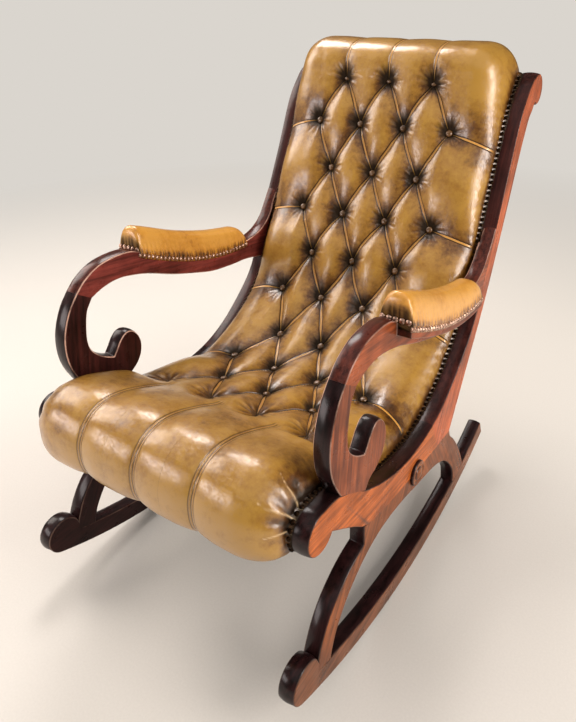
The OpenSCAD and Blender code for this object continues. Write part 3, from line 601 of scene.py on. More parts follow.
        # Stitches are 3.5 mm long. They are drawn 6 mm apart so that they show.
        dash = maths(tree, "FRACT", maths(tree, "DIVIDE", run, 6.0))
        stitch = ramp(tree, dash, [(0.0, 0.35), (0.12, 1.0), (0.7, 1.0), (0.82, 0.35)])
        sewn = maths(tree, "MULTIPLY", maths(tree, "MULTIPLY", row, stitch), shown)
        edge = maths(tree, "MULTIPLY", rim_shade, shown)
        colour = blend(tree, "MIX", maths(tree, "MULTIPLY", joint, 0.85), colour, self.pit)
        # The edge of the turned-in leather is a line of painted shade.
        colour = blend(tree, "MIX", maths(tree, "MULTIPLY", edge, 0.6), colour, self.pit)
        colour = blend(tree, "MIX", maths(tree, "MULTIPLY", sewn, 0.85), colour, "#B58A4A")
        return colour, [*layers, (joint, -0.8), (edge, -0.6), (sewn, 0.7)]


# Curves, meshes and the places of round heads


def along(points: np.ndarray, u: np.ndarray) -> np.ndarray:
    """Evaluates the smooth curve through points.

    Args:
        points: One row per key.
        u: Places on the curve, where key i is at i.

    Returns:
        One row per place.
    """
    u = np.atleast_1d(np.asarray(u, float))
    ends = np.vstack([2 * points[0] - points[1], points, 2 * points[-1] - points[-2]])
    i = np.clip(np.floor(u).astype(int), 0, len(points) - 2)
    t = (u - i)[:, None]
    a, b, c, d = (ends[i + k] for k in range(4))
    return 0.5 * (2 * b + (c - a) * t + (2 * a - 5 * b + 4 * c - d) * t**2 + (3 * b - a - 3 * c + d) * t**3)


def smoothstep(x: np.ndarray | float, low: float, high: float) -> np.ndarray:
    """Rises smoothly from 0 at low to 1 at high."""
    s = np.clip((x - low) / (high - low), 0, 1)
    return s * s * (3 - 2 * s)


def unit(v: np.ndarray) -> np.ndarray:
    """Scales each row of v to length 1."""
    return v / np.linalg.norm(v, axis=-1, keepdims=True)


def polygons_to_mesh(name: str, points: np.ndarray, faces: list, smooth: bool = True) -> Object:
    """Makes a mesh object from points and faces.

    Args:
        name: The object's name.
        points: One row per vertex, in metres.
        faces: Vertex numbers of each face.
        smooth: Whether the faces are shaded smooth.

    Returns:
        The new object, linked to the scene.
    """
    mesh = bpy.data.meshes.new(name)
    mesh.from_pydata(points.tolist(), [], faces)
    mesh.validate()
    work = bmesh.new()
    work.from_mesh(mesh)
    bmesh.ops.recalc_face_normals(work, faces=work.faces)
    work.to_mesh(mesh)
    work.free()
    for polygon in mesh.polygons:
        polygon.use_smooth = smooth
    item = bpy.data.objects.new(name, mesh)
    bpy.context.scene.collection.objects.link(item)
    return item


def store(item: Object, name: str, values: np.ndarray) -> None:
    """Writes a point attribute from one value for each vertex."""
    item.data.attributes.new(name, "FLOAT", "POINT").data.foreach_set("value", values.astype(np.float32))


def tube_faces(rings: int, count: int) -> list[list[int]]:
    """Makes the faces of a skin over rings of equal point counts, with each ring and both ends closed.

    Args:
        rings: Number of rings.
        count: Points in each ring.

    Returns:
        The faces.
    """
    faces = [
        [i * count + j, i * count + (j + 1) % count, (i + 1) * count + (j + 1) % count, (i + 1) * count + j]
        for i in range(rings - 1)
        for j in range(count)
    ]
    return [*faces, list(range(count))[::-1], [(rings - 1) * count + j for j in range(count)]]


@dataclass
class FrameLine:
    """The upper and front edge of the side frames, from the top scroll to the rail scroll."""

    side_d: float = 1.0
    side_h: float = 0.895
    rail_scroll_r: float = 0.034
    shares: tuple = (
        (0.460, 0.999), (0.428, 0.986), (0.402, 0.961), (0.363, 0.906), (0.312, 0.788), (0.261, 0.678),
        (0.219, 0.583), (0.175, 0.484), (0.126, 0.425), (0.052, 0.364), (-0.022, 0.330), (-0.105, 0.320),
        (-0.184, 0.333), (-0.258, 0.364), (-0.317, 0.404), (-0.366, 0.436), (-0.415, 0.443),
    )  # fmt: skip
    keys: np.ndarray = field(init=False)

    def __post_init__(self) -> None:
        """Works out the keys in metres."""
        self.keys = self.scaled(self.shares)

    def scaled(self, shares: tuple) -> np.ndarray:
        """Turns shares to places in metres."""
        return np.array(shares) * (self.side_d, self.side_h)

    def heading(self, u: np.ndarray) -> np.ndarray:
        """Running direction at u."""
        u = np.atleast_1d(np.asarray(u, float))
        return unit(along(self.keys, u + 0.01) - along(self.keys, u - 0.01))

    def outward(self, u: np.ndarray) -> np.ndarray:
        """Direction towards the sitter at u."""
        d = self.heading(u)
        return np.stack([d[:, 1], -d[:, 0]], 1)

    def spot(self, u: np.ndarray, h: np.ndarray | float) -> np.ndarray:
        """Place at height h above the line at u."""
        u = np.atleast_1d(np.asarray(u, float))
        return along(self.keys, u) + np.broadcast_to(h, u.shape)[:, None] * self.outward(u)

    def rail_scroll(self) -> np.ndarray:
        """Centre of the rail scroll."""
        return self.keys[-1] - (0, self.rail_scroll_r)


def islands(node: Object) -> list[np.ndarray]:
    """Splits a CAD node into its separate solids.

    Args:
        node: The CAD node's object.

    Returns:
        The vertices of each solid, in metres.
    """
    points = np.array([v.co for v in node.data.vertices])
    keys = np.round(points / 2e-5).astype(np.int64)
    _, first = np.unique(keys, axis=0, return_inverse=True)
    first = first.ravel()
    parent = list(range(first.max() + 1))

    def root(i: int) -> int:
        """Finds the point that stands for all that are joined to a point.

        Args:
            i: The point's number.

        Returns:
            The number of the point that stands for it.
        """
        while parent[i] != i:
            parent[i] = parent[parent[i]]
            i = parent[i]
        return i

    for polygon in node.data.polygons:
        ids = [root(first[v]) for v in polygon.vertices]
        for other in ids[1:]:
            parent[root(other)] = root(ids[0])
    groups: dict[int, list[int]] = {}
    for index, key in enumerate(first):
        groups.setdefault(root(key), []).append(index)
    return [np.unique(np.round(points[g], 7), axis=0) for g in groups.values()]


def stud_axes(points: np.ndarray) -> tuple[np.ndarray, np.ndarray]:
    """Finds the base centre and the axis of a round head.

    Args:
        points: The vertices of one head.

    Returns:
        The centre of its flat underside, and the direction that it faces.
    """
    middle = (points.min(0) + points.max(0)) / 2
    spread = points - points.mean(0)
    _, vectors = np.linalg.eigh(spread.T @ spread)
    axis = min(vectors.T, key=lambda a: np.ptp(spread @ a))
    up = (points - middle) @ axis
    radius = np.linalg.norm((points - middle) - np.outer(up, axis), axis=1)
    if up[radius > 0.9 * radius.max()].mean() > up.mean():
        axis, up = -axis, -up
    return middle + axis * up.min(), axis


# Buttoned leather


@dataclass
class LeatherPlan:
    """Where every point of the leather lies before it is drawn in: rows run along it, columns run across it.

    base, row, run, height, up and half have an entry for each row, and past and before are columns of such
    entries. across and rise have an entry for each column. x, rising, falling and plain have one for each
    point. rising is a whole number along one set of the button grid's diagonals and falling along the other
    set, and the pleats run there.
    """

    base: np.ndarray
    row: np.ndarray
    run: np.ndarray
    height: np.ndarray
    up: np.ndarray
    half: np.ndarray
    past: np.ndarray
    before: np.ndarray
    across: np.ndarray
    rise: np.ndarray
    x: np.ndarray
    rising: np.ndarray
    falling: np.ndarray
    plain: np.ndarray


@dataclass(frozen=True)
class Pull:
    """One place where the leather is drawn in: under a button, or at a bare tie of the last row."""

    x: float
    run: float
    depth: float
    reach: float
    bare: bool


@dataclass
class LeatherRelief:
    """What happens at every point of the leather.

    pleat, funnel and wrinkle are depths in metres and gather is a height. drawn is how far the point is drawn
    in altogether. tie, near and halo are strengths from 0 to 1 about a tie point, for the finish to read; tie
    and halo darken the leather there as painted shade.
    """

    pleat: np.ndarray
    funnel: np.ndarray
    wrinkle: np.ndarray
    tie: np.ndarray
    near: np.ndarray
    shade_halo: np.ndarray
    gather: np.ndarray
    drawn: np.ndarray


def hump(x: np.ndarray, middle: float, width: float | np.ndarray) -> np.ndarray:
    """Returns a bell curve of height 1 about a middle."""
    return np.exp(-(((x - middle) / width) ** 2))


def lengths(path: np.ndarray) -> np.ndarray:
    """Returns how far along a path each of its points lies."""
    return np.concatenate([[0], np.cumsum(np.linalg.norm(np.diff(path, axis=0), axis=1))])


@dataclass
class ButtonedLeather:
    """The continuous leather over crest, back, seat and front roll, drawn in by 31 covered buttons."""

    line: FrameLine
    inner_x: float = 0.257
    lap: float = 0.011
    rest_gap: float = 0.0003
    leather_t: float = 0.0016
    crown_h: float = 0.060
    gap: float = 0.108
    edge_round: float = 0.070
    crest_rail_h: float = 0.108
    crest_mark: float = 2.3
    roll_r: float = 0.093
    row_marks: tuple = (2.5, 3.45, 4.35, 5.3, 6.35, 7.65, 9, 10.4, 11.8, 13.3)
    crown_shares: tuple = (1.2, 1.03, 0.9, 0.8, 0.9, 0.8, 0.83, 1.02, 1.17, 1.0)
    crest_shares: tuple = (
        (-0.03, 0.87), (-0.30, 0.93), (-0.60, 0.81), (-0.90, 0.58), (-1.10, 0.29), (-1.13, -0.04),
        (-0.99, -0.31), (-0.80, -0.48),
    )  # fmt: skip
    crest_bases: tuple = (
        (-0.11, 0.0), (-0.28, 0.0), (-0.46, 0.0), (-0.64, -0.01), (-0.69, -0.16), (-0.68, -0.32),
        (-0.58, -0.32), (-0.48, -0.32),
    )  # fmt: skip
    roll_shares: tuple = (
        (22, 1.37), (43, 1.08), (74, 0.97), (101, 1.01), (126, 1.03), (150, 0.98), (172, 0.91), (195, 0.87),
        (215, 0.79), (236, 0.64),
    )  # fmt: skip
    roll_marks: tuple = (13.9, 14.6, 15.5)
    seam_share: float = 0.235
    step: float = 0.0026
    side_slant: float = 0.22
    pleat_depth: float = 0.014
    soft_pleat: float = 0.0035
    funnel: float = 0.046
    roll_clear: float = 0.0009
    ease_width: float = 0.026
    # A bare tie's depth and reach.
    bare_tie: tuple = (0.0165, 0.040)
    # Radius, width and height of the wrinkles about a button and of the deep puckers about a bare tie.
    wrinkle_ring: tuple = (0.021, 0.013, 0.0009)
    pucker_ring: tuple = (0.024, 0.015, 0.0017)
    # Side, place past the last ties, slope and reach of each bare crease in the roll's ends.
    creases: tuple = (
        (1, 3.9, -0.35, 0.030), (1, 5.0, 0.1, 0.036), (1, 6.3, 0.3, 0.022), (-1, 4.4, -0.2, 0.024),
    )  # fmt: skip

    def __post_init__(self) -> None:
        """Works out the widths and the places of the seams."""
        self.edge_x = self.inner_x + self.lap
        self.rise_x = self.edge_x - 0.010
        self.last = len(self.row_marks) - 1
        seam = self.seam_share * 2 * self.inner_x
        self.seams = np.array([-seam, 0, seam])

    def mark(self, t: np.ndarray) -> np.ndarray:
        """Place on the frame line of row t."""
        return along(np.array(self.row_marks, float)[:, None], t)[:, 0]

    def crown(self, t: np.ndarray) -> np.ndarray:
        """Crown height at row t."""
        return along(np.array(self.crown_shares, float)[:, None], t)[:, 0] * self.crown_h

    def crest_point(self, shares: tuple) -> np.ndarray:
        """Finds places about the crest rail.

        Args:
            shares: Places along the frame line and out of it, as shares of the rail's height.

        Returns:
            One row per place, in metres.
        """
        places = np.array(shares, float) * self.crest_rail_h
        at = along(self.line.keys, [self.crest_mark])[0]
        ahead, out = self.line.heading([self.crest_mark])[0], self.line.outward([self.crest_mark])[0]
        return at + np.outer(places[:, 0], ahead) + np.outer(places[:, 1], out)

    def polar(self, r: np.ndarray, a: np.ndarray) -> np.ndarray:
        """Places about the rail scroll at radius r and angle a in degrees."""
        a = np.radians(a)
        return self.line.rail_scroll() + np.stack([r * np.cos(a), r * np.sin(a)], 1)

    def stations(self) -> dict[str, np.ndarray]:
        """Places every few millimetres along the leather, from behind the crest to under the front roll.

        Returns:
            base and crown points, the row number t, and how far each lies past the first and the last row.
        """
        names = ("base", "crown", "t", "past_first", "past_last")
        parts = (self._crest_part(), self._row_part(), self._roll_part())
        dense = {n: np.concatenate([p[i] for p in parts]) for i, n in enumerate(names)}
        self._ease_crest(dense)
        run = lengths(0.3 * dense["base"] + 0.7 * dense["crown"])
        outer = lengths(dense["crown"])
        places = np.linspace(0, 1, int((run[-1] + outer[-1]) / 2 / self.step))
        mixed = (run / run[-1] + outer / outer[-1]) / 2
        dense["run"] = run
        picked = {}
        for name, values in dense.items():
            columns = values if values.ndim > 1 else values[:, None]
            picked[name] = np.stack([np.interp(places, mixed, c) for c in columns.T], 1)
            if values.ndim == 1:
                picked[name] = picked[name][:, 0]
        return picked

    def _crest_part(self) -> tuple[np.ndarray, ...]:
        """Places the stations over the crest, which lie before the first row of buttons.

        Returns:
            Base, crown, row number, and distance past the first and past the last row, of each station.
        """
        t = np.array([0.0, 0.5])
        rest, mark = self.line.spot, self.mark(t)
        base = np.vstack([self.crest_point(self.crest_bases)[::-1], rest(mark, self.rest_gap)])
        top = np.vstack([self.crest_point(self.crest_shares)[::-1], rest(mark, self.crown(t))])
        s = np.linspace(0, len(self.crest_shares), 700)[:-1]
        return along(base, s), along(top, s), np.zeros_like(s), s - len(self.crest_shares), 0 * s

    def _row_part(self) -> tuple[np.ndarray, ...]:
        """Places the stations from the first row of buttons to the last row of ties.

        Returns:
            Base, crown, row number, and distance past the first and past the last row, of each station.
        """
        t = np.linspace(0, self.last, 1400)
        rest, mark = self.line.spot, self.mark(t)
        return rest(mark, self.rest_gap), rest(mark, self.rest_gap + self.crown(t)), t, 0 * t, 0 * t

    def _roll_part(self) -> tuple[np.ndarray, ...]:
        """Places the stations round the front roll, which lie past the last row of ties.

        Returns:
            Base, crown, row number, and distance past the first and past the last row, of each station.
        """
        roll = np.array(self.roll_shares, float)
        t = np.array([self.last - 0.5, self.last])
        rest, mark, marks = self.line.spot, self.mark(t), np.array(self.roll_marks)
        radius = np.full(len(roll) - len(marks), self.line.rail_scroll_r + self.roll_clear)
        round_scroll = self.polar(radius, roll[len(marks) :, 0])
        base = np.vstack([rest(mark, self.rest_gap), rest(marks, self.roll_clear), round_scroll])
        top = np.vstack([rest(mark, self.crown(t)), self.polar(roll[:, 1] * self.roll_r, roll[:, 0])])
        s = np.linspace(1, 1 + len(roll), 900)[1:]
        return along(base, s), along(top, s), np.full_like(s, self.last), 0 * s, s - 1

    def _ease_crest(self, dense: dict[str, np.ndarray]) -> None:
        """Eases the crown line where the crest meets the first row of buttons.

        Args:
            dense: The stations, whose crown points are changed in place.
        """
        crown = dense["crown"]
        run = lengths(crown)
        even = np.linspace(0, run[-1], 3000)
        line = np.stack([np.interp(even, run, c) for c in crown.T], 1)
        wide = 120
        kernel = np.exp(-0.5 * (np.arange(-wide, wide + 1) * (even[1] - even[0]) / self.ease_width) ** 2)
        padded = np.pad(line, ((wide, wide), (0, 0)), mode="edge")
        soft = np.stack([np.convolve(c, kernel / kernel.sum(), "valid") for c in padded.T], 1)
        first = run[np.argmin(np.abs(dense["t"] - 0.04) + (dense["past_first"] < 0))]
        share = smoothstep(-np.abs(even - first), -0.105, -0.045)[:, None]
        eased = line + (soft - line) * share
        dense["crown"] = np.stack([np.interp(run, even, c) for c in eased.T], 1)

    def columns(self) -> tuple[np.ndarray, np.ndarray]:
        """Places points across the leather, closer together where the edge is round.

        Returns:
            The sideways place of each, and the share of the crown that it has risen.
        """
        theta = np.linspace(0, math.pi / 2, 38)
        side = self.rise_x - self.edge_round * (1 - np.cos(theta))
        rise = np.sin(theta)
        inner = self.rise_x - self.edge_round
        flat = np.linspace(inner, -inner, int(2 * inner / self.step))[1:-1]
        x = np.concatenate([side, flat, -side[::-1]])
        e = np.concatenate([rise, np.ones_like(flat), rise[::-1]])
        return -x, e

    def buttons(self) -> list[tuple[float, int, float]]:
        """Reads where the CAD buttons lie.

        Returns:
            x, row and height of the underside above the frame line, for each button.
        """
        found = []
        solids = [stud_axes(p)[0] for p in islands(FRAME["nodes"]["buttons"])]
        for row in range(self.last):
            count = 3 if row % 2 == 0 else 4
            mark = self.mark([row])
            at, out = self.line.spot(mark, 0.0)[0], self.line.outward(mark)[0]
            for i in range(count):
                x = (i - (count - 1) / 2) * self.gap
                guess = np.array([x, *(at + out * 0.035)])
                base = min(solids, key=lambda p: np.linalg.norm(p - guess))
                found.append((x, row, float((base[1:] - at) @ out)))
        return found

    def build(self, finish: Material) -> Object:
        """Makes the leather.

        Args:
            finish: The leather's material.

        Returns:
            The object.
        """
        plan = self._plan()
        relief = self._relieve(plan)
        grid = self._grid(plan, relief)
        rings, count = grid.shape[:2]
        leather = polygons_to_mesh("buttoned_leather", grid.reshape(-1, 3), tube_faces(rings, count))
        self._mark_surface(leather, plan, relief)
        self._map_pleats(leather, plan)
        leather.data.materials.append(finish)
        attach(leather, "root")
        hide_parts("tufted_back", "tufted_seat", "front_roll")
        log.info("buttoned leather: %d rows of %d points", rings, count)
        return leather

    def _plan(self) -> LeatherPlan:
        """Lays out the points, with the columns bent in where the leather narrows behind the crest.

        Returns:
            The plan.
        """
        stations = self.stations()
        across, rise = self.columns()
        row = stations["t"]
        height = np.linalg.norm(stations["crown"] - stations["base"], axis=1)
        up = (stations["crown"] - stations["base"]) / height[:, None]
        behind = 1 - smoothstep(stations["past_first"] + 8, 3.6, 4.4)
        half = self.edge_x + (self.inner_x - self.rest_gap - self.edge_x) * behind
        shoulder = np.minimum(self.rise_x, half - 0.005)
        even = 2 * self.gap
        beside = np.abs(across)
        narrowed = even + (beside[None, :] - even) * (shoulder[:, None] - even) / (self.rise_x - even)
        x = np.sign(across)[None, :] * np.where(beside[None, :] <= even, beside[None, :], narrowed)
        # Outside the last buttons the pleats slant towards the nailed edge.
        outside = np.maximum(0, beside[None, :] - 1.5 * self.gap) / self.gap
        slanted = row[:, None] - self.side_slant * outside * (row[:, None] > 0)
        button = np.clip(across / self.gap, -1.5, 1.5)[None, :]
        before = stations["past_first"][:, None]
        outer = smoothstep(beside, 1.5 * self.gap, 1.6 * self.gap)[None, :]
        crest = smoothstep(-before - row[:, None], -0.32, 0.0)
        return LeatherPlan(
            base=stations["base"],
            row=row,
            run=stations["run"],
            height=height,
            up=up,
            half=half,
            past=stations["past_last"][:, None],
            before=before,
            across=across,
            rise=rise,
            x=x,
            rising=button + slanted / 2,
            falling=button - slanted / 2,
            plain=1 - outer * crest,
        )

    def _pulls(self, plan: LeatherPlan) -> list[Pull]:
        """Finds where the leather is drawn in.

        Args:
            plan: The leather's plan.

        Returns:
            The buttons and the bare ties of the last row.
        """
        span = np.flatnonzero((plan.before[:, 0] > -1e-6) & (plan.past[:, 0] < 1e-6))
        rows = np.arange(self.last + 1)
        run_at = np.interp(rows, plan.row[span], plan.run[span])
        tall = np.interp(rows, plan.row[span], plan.height[span])
        under = 0.0012
        pulls = [
            Pull(x, run_at[row], max(0.010, tall[row] - h + under), self.funnel, False)
            for x, row, h in self.buttons()
        ]
        ties = (-3, -1, 1, 3)
        return pulls + [Pull(s * self.gap / 2, run_at[self.last], *self.bare_tie, True) for s in ties]

    def _relieve(self, plan: LeatherPlan) -> LeatherRelief:
        """Works out pleats, funnels, wrinkles, grooves and gathers.

        Args:
            plan: The leather's plan.

        Returns:
            The relief.
        """
        past, before = plan.past, plan.before
        puff = np.abs(np.sin(np.pi * plan.rising) * np.sin(np.pi * plan.falling))
        # The pleats die away past the last ties, get shallow over the crest and end behind it.
        fade = (1 - smoothstep(past, 0.35, 1.35)) * (1 - 0.72 * smoothstep(-before, 0.0, 2.2))
        fade = fade * (1 - smoothstep(-before, 3.5, 6.5)) * plan.plain
        # Low powers draw the pleat into a narrow fold between two full cushions.
        sharp = np.where(before < 0, 0.30, 0.46)
        pleat = self.pleat_depth * fade * (1 - puff**sharp)
        pleat = pleat + self.soft_pleat * fade * (1 - puff**0.9) * (before >= 0)
        empty = (np.zeros_like(pleat) for _ in range(5))
        relief = LeatherRelief(pleat, *empty, gather=self._gathers(plan), drawn=pleat)
        rng = np.random.default_rng(7)
        for pull in self._pulls(plan):
            dx = plan.x - pull.x
            dy = (plan.run - pull.run)[:, None] * np.ones_like(dx)
            if (np.hypot(dx, dy) < pull.reach * 1.6).any():
                self._draw_in(relief, pull, dx, dy, rng.uniform(0, 2 * math.pi, 3))
        # No two cushions are stuffed quite alike.
        row = plan.row[:, None]
        plump = 0.0012 * np.sin(9.1 * plan.x / self.gap + 1.3 * row) * np.cos(2.1 * row + 5 * plan.x)
        away = np.min(np.abs(plan.x[:, :, None] - self.seams), axis=2)
        groove = 0.0020 * hump(away, 0, 0.0065) + 0.0040 * hump(away, 0, 0.024)
        groove = groove * smoothstep(past, 0.25, 0.9)
        relief.drawn = pleat + relief.funnel + relief.wrinkle + plump * fade + groove
        return relief

    def _draw_in(
        self, relief: LeatherRelief, pull: Pull, dx: np.ndarray, dy: np.ndarray, phases: np.ndarray
    ) -> None:
        """Adds one tie point's funnel, the wrinkles round it, and its waxless pit with painted shade in and
        round it.

        Args:
            relief: The relief, which is changed in place.
            pull: The tie point.
            dx: Sideways distance of every point from it.
            dy: Distance of every point from it along the leather.
            phases: Three angles that set how its wrinkles lie.
        """
        r = np.hypot(dx, dy)
        # Under a button the funnel has a flat bottom.
        core = 0.001 if pull.bare else 0.0062
        funnel = np.clip((pull.reach - r) / (pull.reach - core), 0, 1) ** 2.1
        depth = max(0.0, pull.depth - (self.pleat_depth + self.soft_pleat))
        relief.funnel = np.maximum(relief.funnel, funnel * depth)
        angle = np.arctan2(dy, dx)
        rays = 0.5 * np.cos(13 * angle + phases[0]) + 0.4 * np.cos(22 * angle + phases[1])
        rays = rays + 0.25 * np.cos(7 * angle + phases[2])
        if pull.bare:
            # The last ties gather the leather into fans of deep puckers.
            folds = np.cos(11 * angle + phases[1]) + 0.35 * np.cos(5 * angle + phases[2])
            radius, width, rise = self.pucker_ring
        else:
            folds = rays
            radius, width, rise = self.wrinkle_ring
        relief.wrinkle += folds * hump(r, radius, width) * rise
        # The pit's painted shade, and the broader halo of painted shade round it, reach further above a
        # button of the back, and behind one of the seat.
        above = 0.5 - 0.5 * dy / np.maximum(r, 1e-6)
        dark = hump(r, 0, 0.0135 + 0.0125 * above) * (1 + 0.2 * rays * smoothstep(r, 0.006, 0.016))
        shade_halo = hump(r, 0, 0.024 + 0.012 * above)
        relief.tie = np.maximum(relief.tie, dark * (0.3 if pull.bare else 1.0))
        relief.shade_halo = np.maximum(relief.shade_halo, shade_halo * (0.4 if pull.bare else 1.0))
        relief.near = np.maximum(relief.near, np.clip(1 - r / 0.040, 0, 1))

    def _gathers(self, plan: LeatherPlan) -> np.ndarray:
        """Works out small gathers where the leather is nailed down, and deep ones round the roll's ends.

        Args:
            plan: The leather's plan.

        Returns:
            The height of the gathers at every point.
        """
        run, rise = plan.run[:, None], plan.rise[None, :]
        gather = 0.0008 * np.sin(run / 0.0115 * math.pi) * hump(rise, 0.28, 0.2)
        fan = np.sin(run / 0.0074 + 2.2 * np.sin(run / 0.031)) * smoothstep(plan.past, 1.2, 2.4)
        return gather + 0.0022 * fan * hump(rise, 0.45, 0.26)

    def _grid(self, plan: LeatherPlan, relief: LeatherRelief) -> np.ndarray:
        """Places every point, with a lip of the leather's thickness at both sides.

        Args:
            plan: The leather's plan.
            relief: The leather's relief.

        Returns:
            The points as rows and columns of x, y and z.
        """
        crown = np.maximum(0, plan.height[:, None] - self.leather_t - relief.drawn) * plan.rise[None, :]
        nailed = (plan.rise[None, :] > 0) * (np.abs(plan.across) > 2 * self.gap)
        height = self.leather_t + crown + relief.gather * nailed
        base, up = plan.base, plan.up
        top = np.stack([plan.x, base[:, 0:1] + up[:, 0:1] * height, base[:, 1:2] + up[:, 1:2] * height], 2)

        def edge(side: float, lift: float) -> np.ndarray:
            """Returns the points of one edge, lifted off the frame."""
            return np.stack([side * plan.half, *(base + up * lift).T], 1)

        first = 1 if plan.across[0] > plan.across[-1] else -1
        lip = self.leather_t
        start = np.stack([edge(first, 0.0), edge(first, lip)], 1)
        end = np.stack([edge(-first, lip), edge(-first, 0.0)], 1)
        return np.concatenate([start, top, end], 1)

    def _mark_surface(self, leather: Object, plan: LeatherPlan, relief: LeatherRelief) -> None:
        """Writes the point attributes that the leather's finish reads.

        Args:
            leather: The leather's object.
            plan: Its plan.
            relief: Its relief.
        """
        past, before, rise = plan.past, plan.before, plan.rise
        ones = np.ones_like(plan.x)
        # 30 mm deep is fully dark, partly antiquing and partly painted shade. Gathers and wrinkles are
        # painted darker in their valleys than they are deep and lighter on their ridges, as painted shade and
        # highlight.
        hollow = np.clip((relief.pleat + relief.funnel) / 0.030, 0, 1)
        hollow = np.maximum(hollow, 0.62 * (1 - smoothstep(rise, 0.0, 0.42))[None, :] * ones)
        hollow = hollow + 0.16 * np.clip(relief.wrinkle / 0.0011, -1, 1)
        hollow = hollow + 110 * np.maximum(0, -relief.gather) - 60 * np.maximum(0, relief.gather)
        # A broad halo of painted shade round each tie.
        hollow = hollow + 0.34 * relief.shade_halo
        # Years of knees have darkened the roll's top and the seat's front in smudges.
        hollow = hollow + 0.16 * smoothstep(past, 0.6, 2.2) * (1 - smoothstep(past, 4.2, 6.5))
        # The roll is painted darker near both ends, under the arms, as their shade.
        corner = hump(np.maximum(0, self.rise_x - np.abs(plan.x)), 0, 0.034) * smoothstep(past, 1.6, 3.0)
        hollow = hollow + 0.36 * corner * (1 - smoothstep(past, 5.6, 7.4))
        fold = (1 - smoothstep(past, 0.35, 1.35)) * (1 - 0.25 * smoothstep(-before, 0.0, 2.2))
        fold = fold * (1 - smoothstep(-before, 4.5, 7.0)) * plan.plain * smoothstep(rise, 0.15, 0.5)[None, :]
        pace = np.gradient(plan.row, plan.run)[:, None] * 0.5 * MM
        between = (np.abs(plan.across) < 1.5 * self.gap)[None, :]
        inside = between / self.gap * MM
        lean = 0.5 * self.side_slant * ~between / self.gap * MM
        pitch = 1 / np.sqrt(np.maximum(inside**2 + lean**2 + pace**2, 1e-5))
        # Each attribute with its value on the lip at both sides.
        for name, values, lip in (
            ("hollow", hollow, 0.75),
            ("crack", self._cracks(plan), 0.0),
            ("tie", relief.tie, 0.9),
            ("near", relief.near, 0.0),
            ("fold", fold, 0.0),
            ("roll", smoothstep(past, 0.55, 0.75) * ones, 0.0),
            ("pitch_a", pitch, 80.0),
            ("pitch_b", pitch, 80.0),
        ):
            store(leather, name, self._padded_out(values, lip))

    def _map_pleats(self, leather: Object, plan: LeatherPlan) -> None:
        """Writes the UV maps of the pleats and of the roll's seams.

        Args:
            leather: The leather's object.
            plan: Its plan.
        """
        zero = 0 * plan.x
        nearest = np.argmin(np.abs(plan.x[:, :, None] - self.seams), axis=2)
        signed = (plan.x - self.seams[nearest]) / 0.010
        run = plan.run[:, None] / MM + zero
        rising, falling = (self._padded_out(values + zero, 0) for values in (plan.rising, plan.falling))
        self._map(leather, "pleats", rising, falling)
        self._map(leather, "seams", self._padded_out(signed, 9), self._padded_out(run, 0))

    def _cracks(self, plan: LeatherPlan) -> np.ndarray:
        """Draws the bare creases that run from the nails into both ends of the front roll.

        Args:
            plan: The leather's plan.

        Returns:
            How bare every point is, from 0 to 1.
        """
        bare = np.zeros_like(plan.x)
        inward = self.rise_x - np.abs(plan.x)
        for side, at, slope, reach in self.creases:
            start = np.interp(at, plan.past[:, 0], plan.run)
            bend = 0.004 * np.sin(inward / 0.011)
            off = plan.run[:, None] - (start + slope * inward + bend)
            width = 0.0021 * np.clip(1 - inward / reach, 0.05, 1)
            shown = (inward < reach) * (np.sign(plan.x) == side)
            bare = np.maximum(bare, hump(off, 0, width) * shown * 0.85)
        return bare * (plan.past > 1)

    @staticmethod
    def _padded_out(values: np.ndarray, edge: float) -> np.ndarray:
        """Adds the value of the lip's two points at each side of every row."""
        side = np.full((len(values), 2), float(edge))
        return np.concatenate([side, values, side], 1).ravel()

    @staticmethod
    def _map(item: Object, name: str, u: np.ndarray, v: np.ndarray) -> None:
        """Writes a UV map.

        Args:
            item: The object.
            name: The map's name.
            u: First coordinate of each vertex.
            v: Second coordinate of each vertex.
        """
        loops = np.zeros(len(item.data.loops), np.int32)
        item.data.loops.foreach_get("vertex_index", loops)
        layer = item.data.uv_layers.new(name=name)
        layer.data.foreach_set("uv", np.stack([u[loops], v[loops]], 1).astype(np.float32).ravel())


# Buttons and nails

# Radius and height of each ring of a head, as shares of its whole radius and height.
BUTTON_PROFILE = (
    (0.62, 0.0), (0.92, 0.10), (1.0, 0.28), (0.97, 0.50), (0.84, 0.74), (0.60, 0.91), (0.30, 0.985),
    (0.06, 1.0),
)  # fmt: skip
NAIL_PROFILE = (
    (0.96, 0.0), (1.0, 0.10), (0.95, 0.34), (0.80, 0.62), (0.56, 0.84), (0.28, 0.965), (0.05, 1.0),
)  # fmt: skip


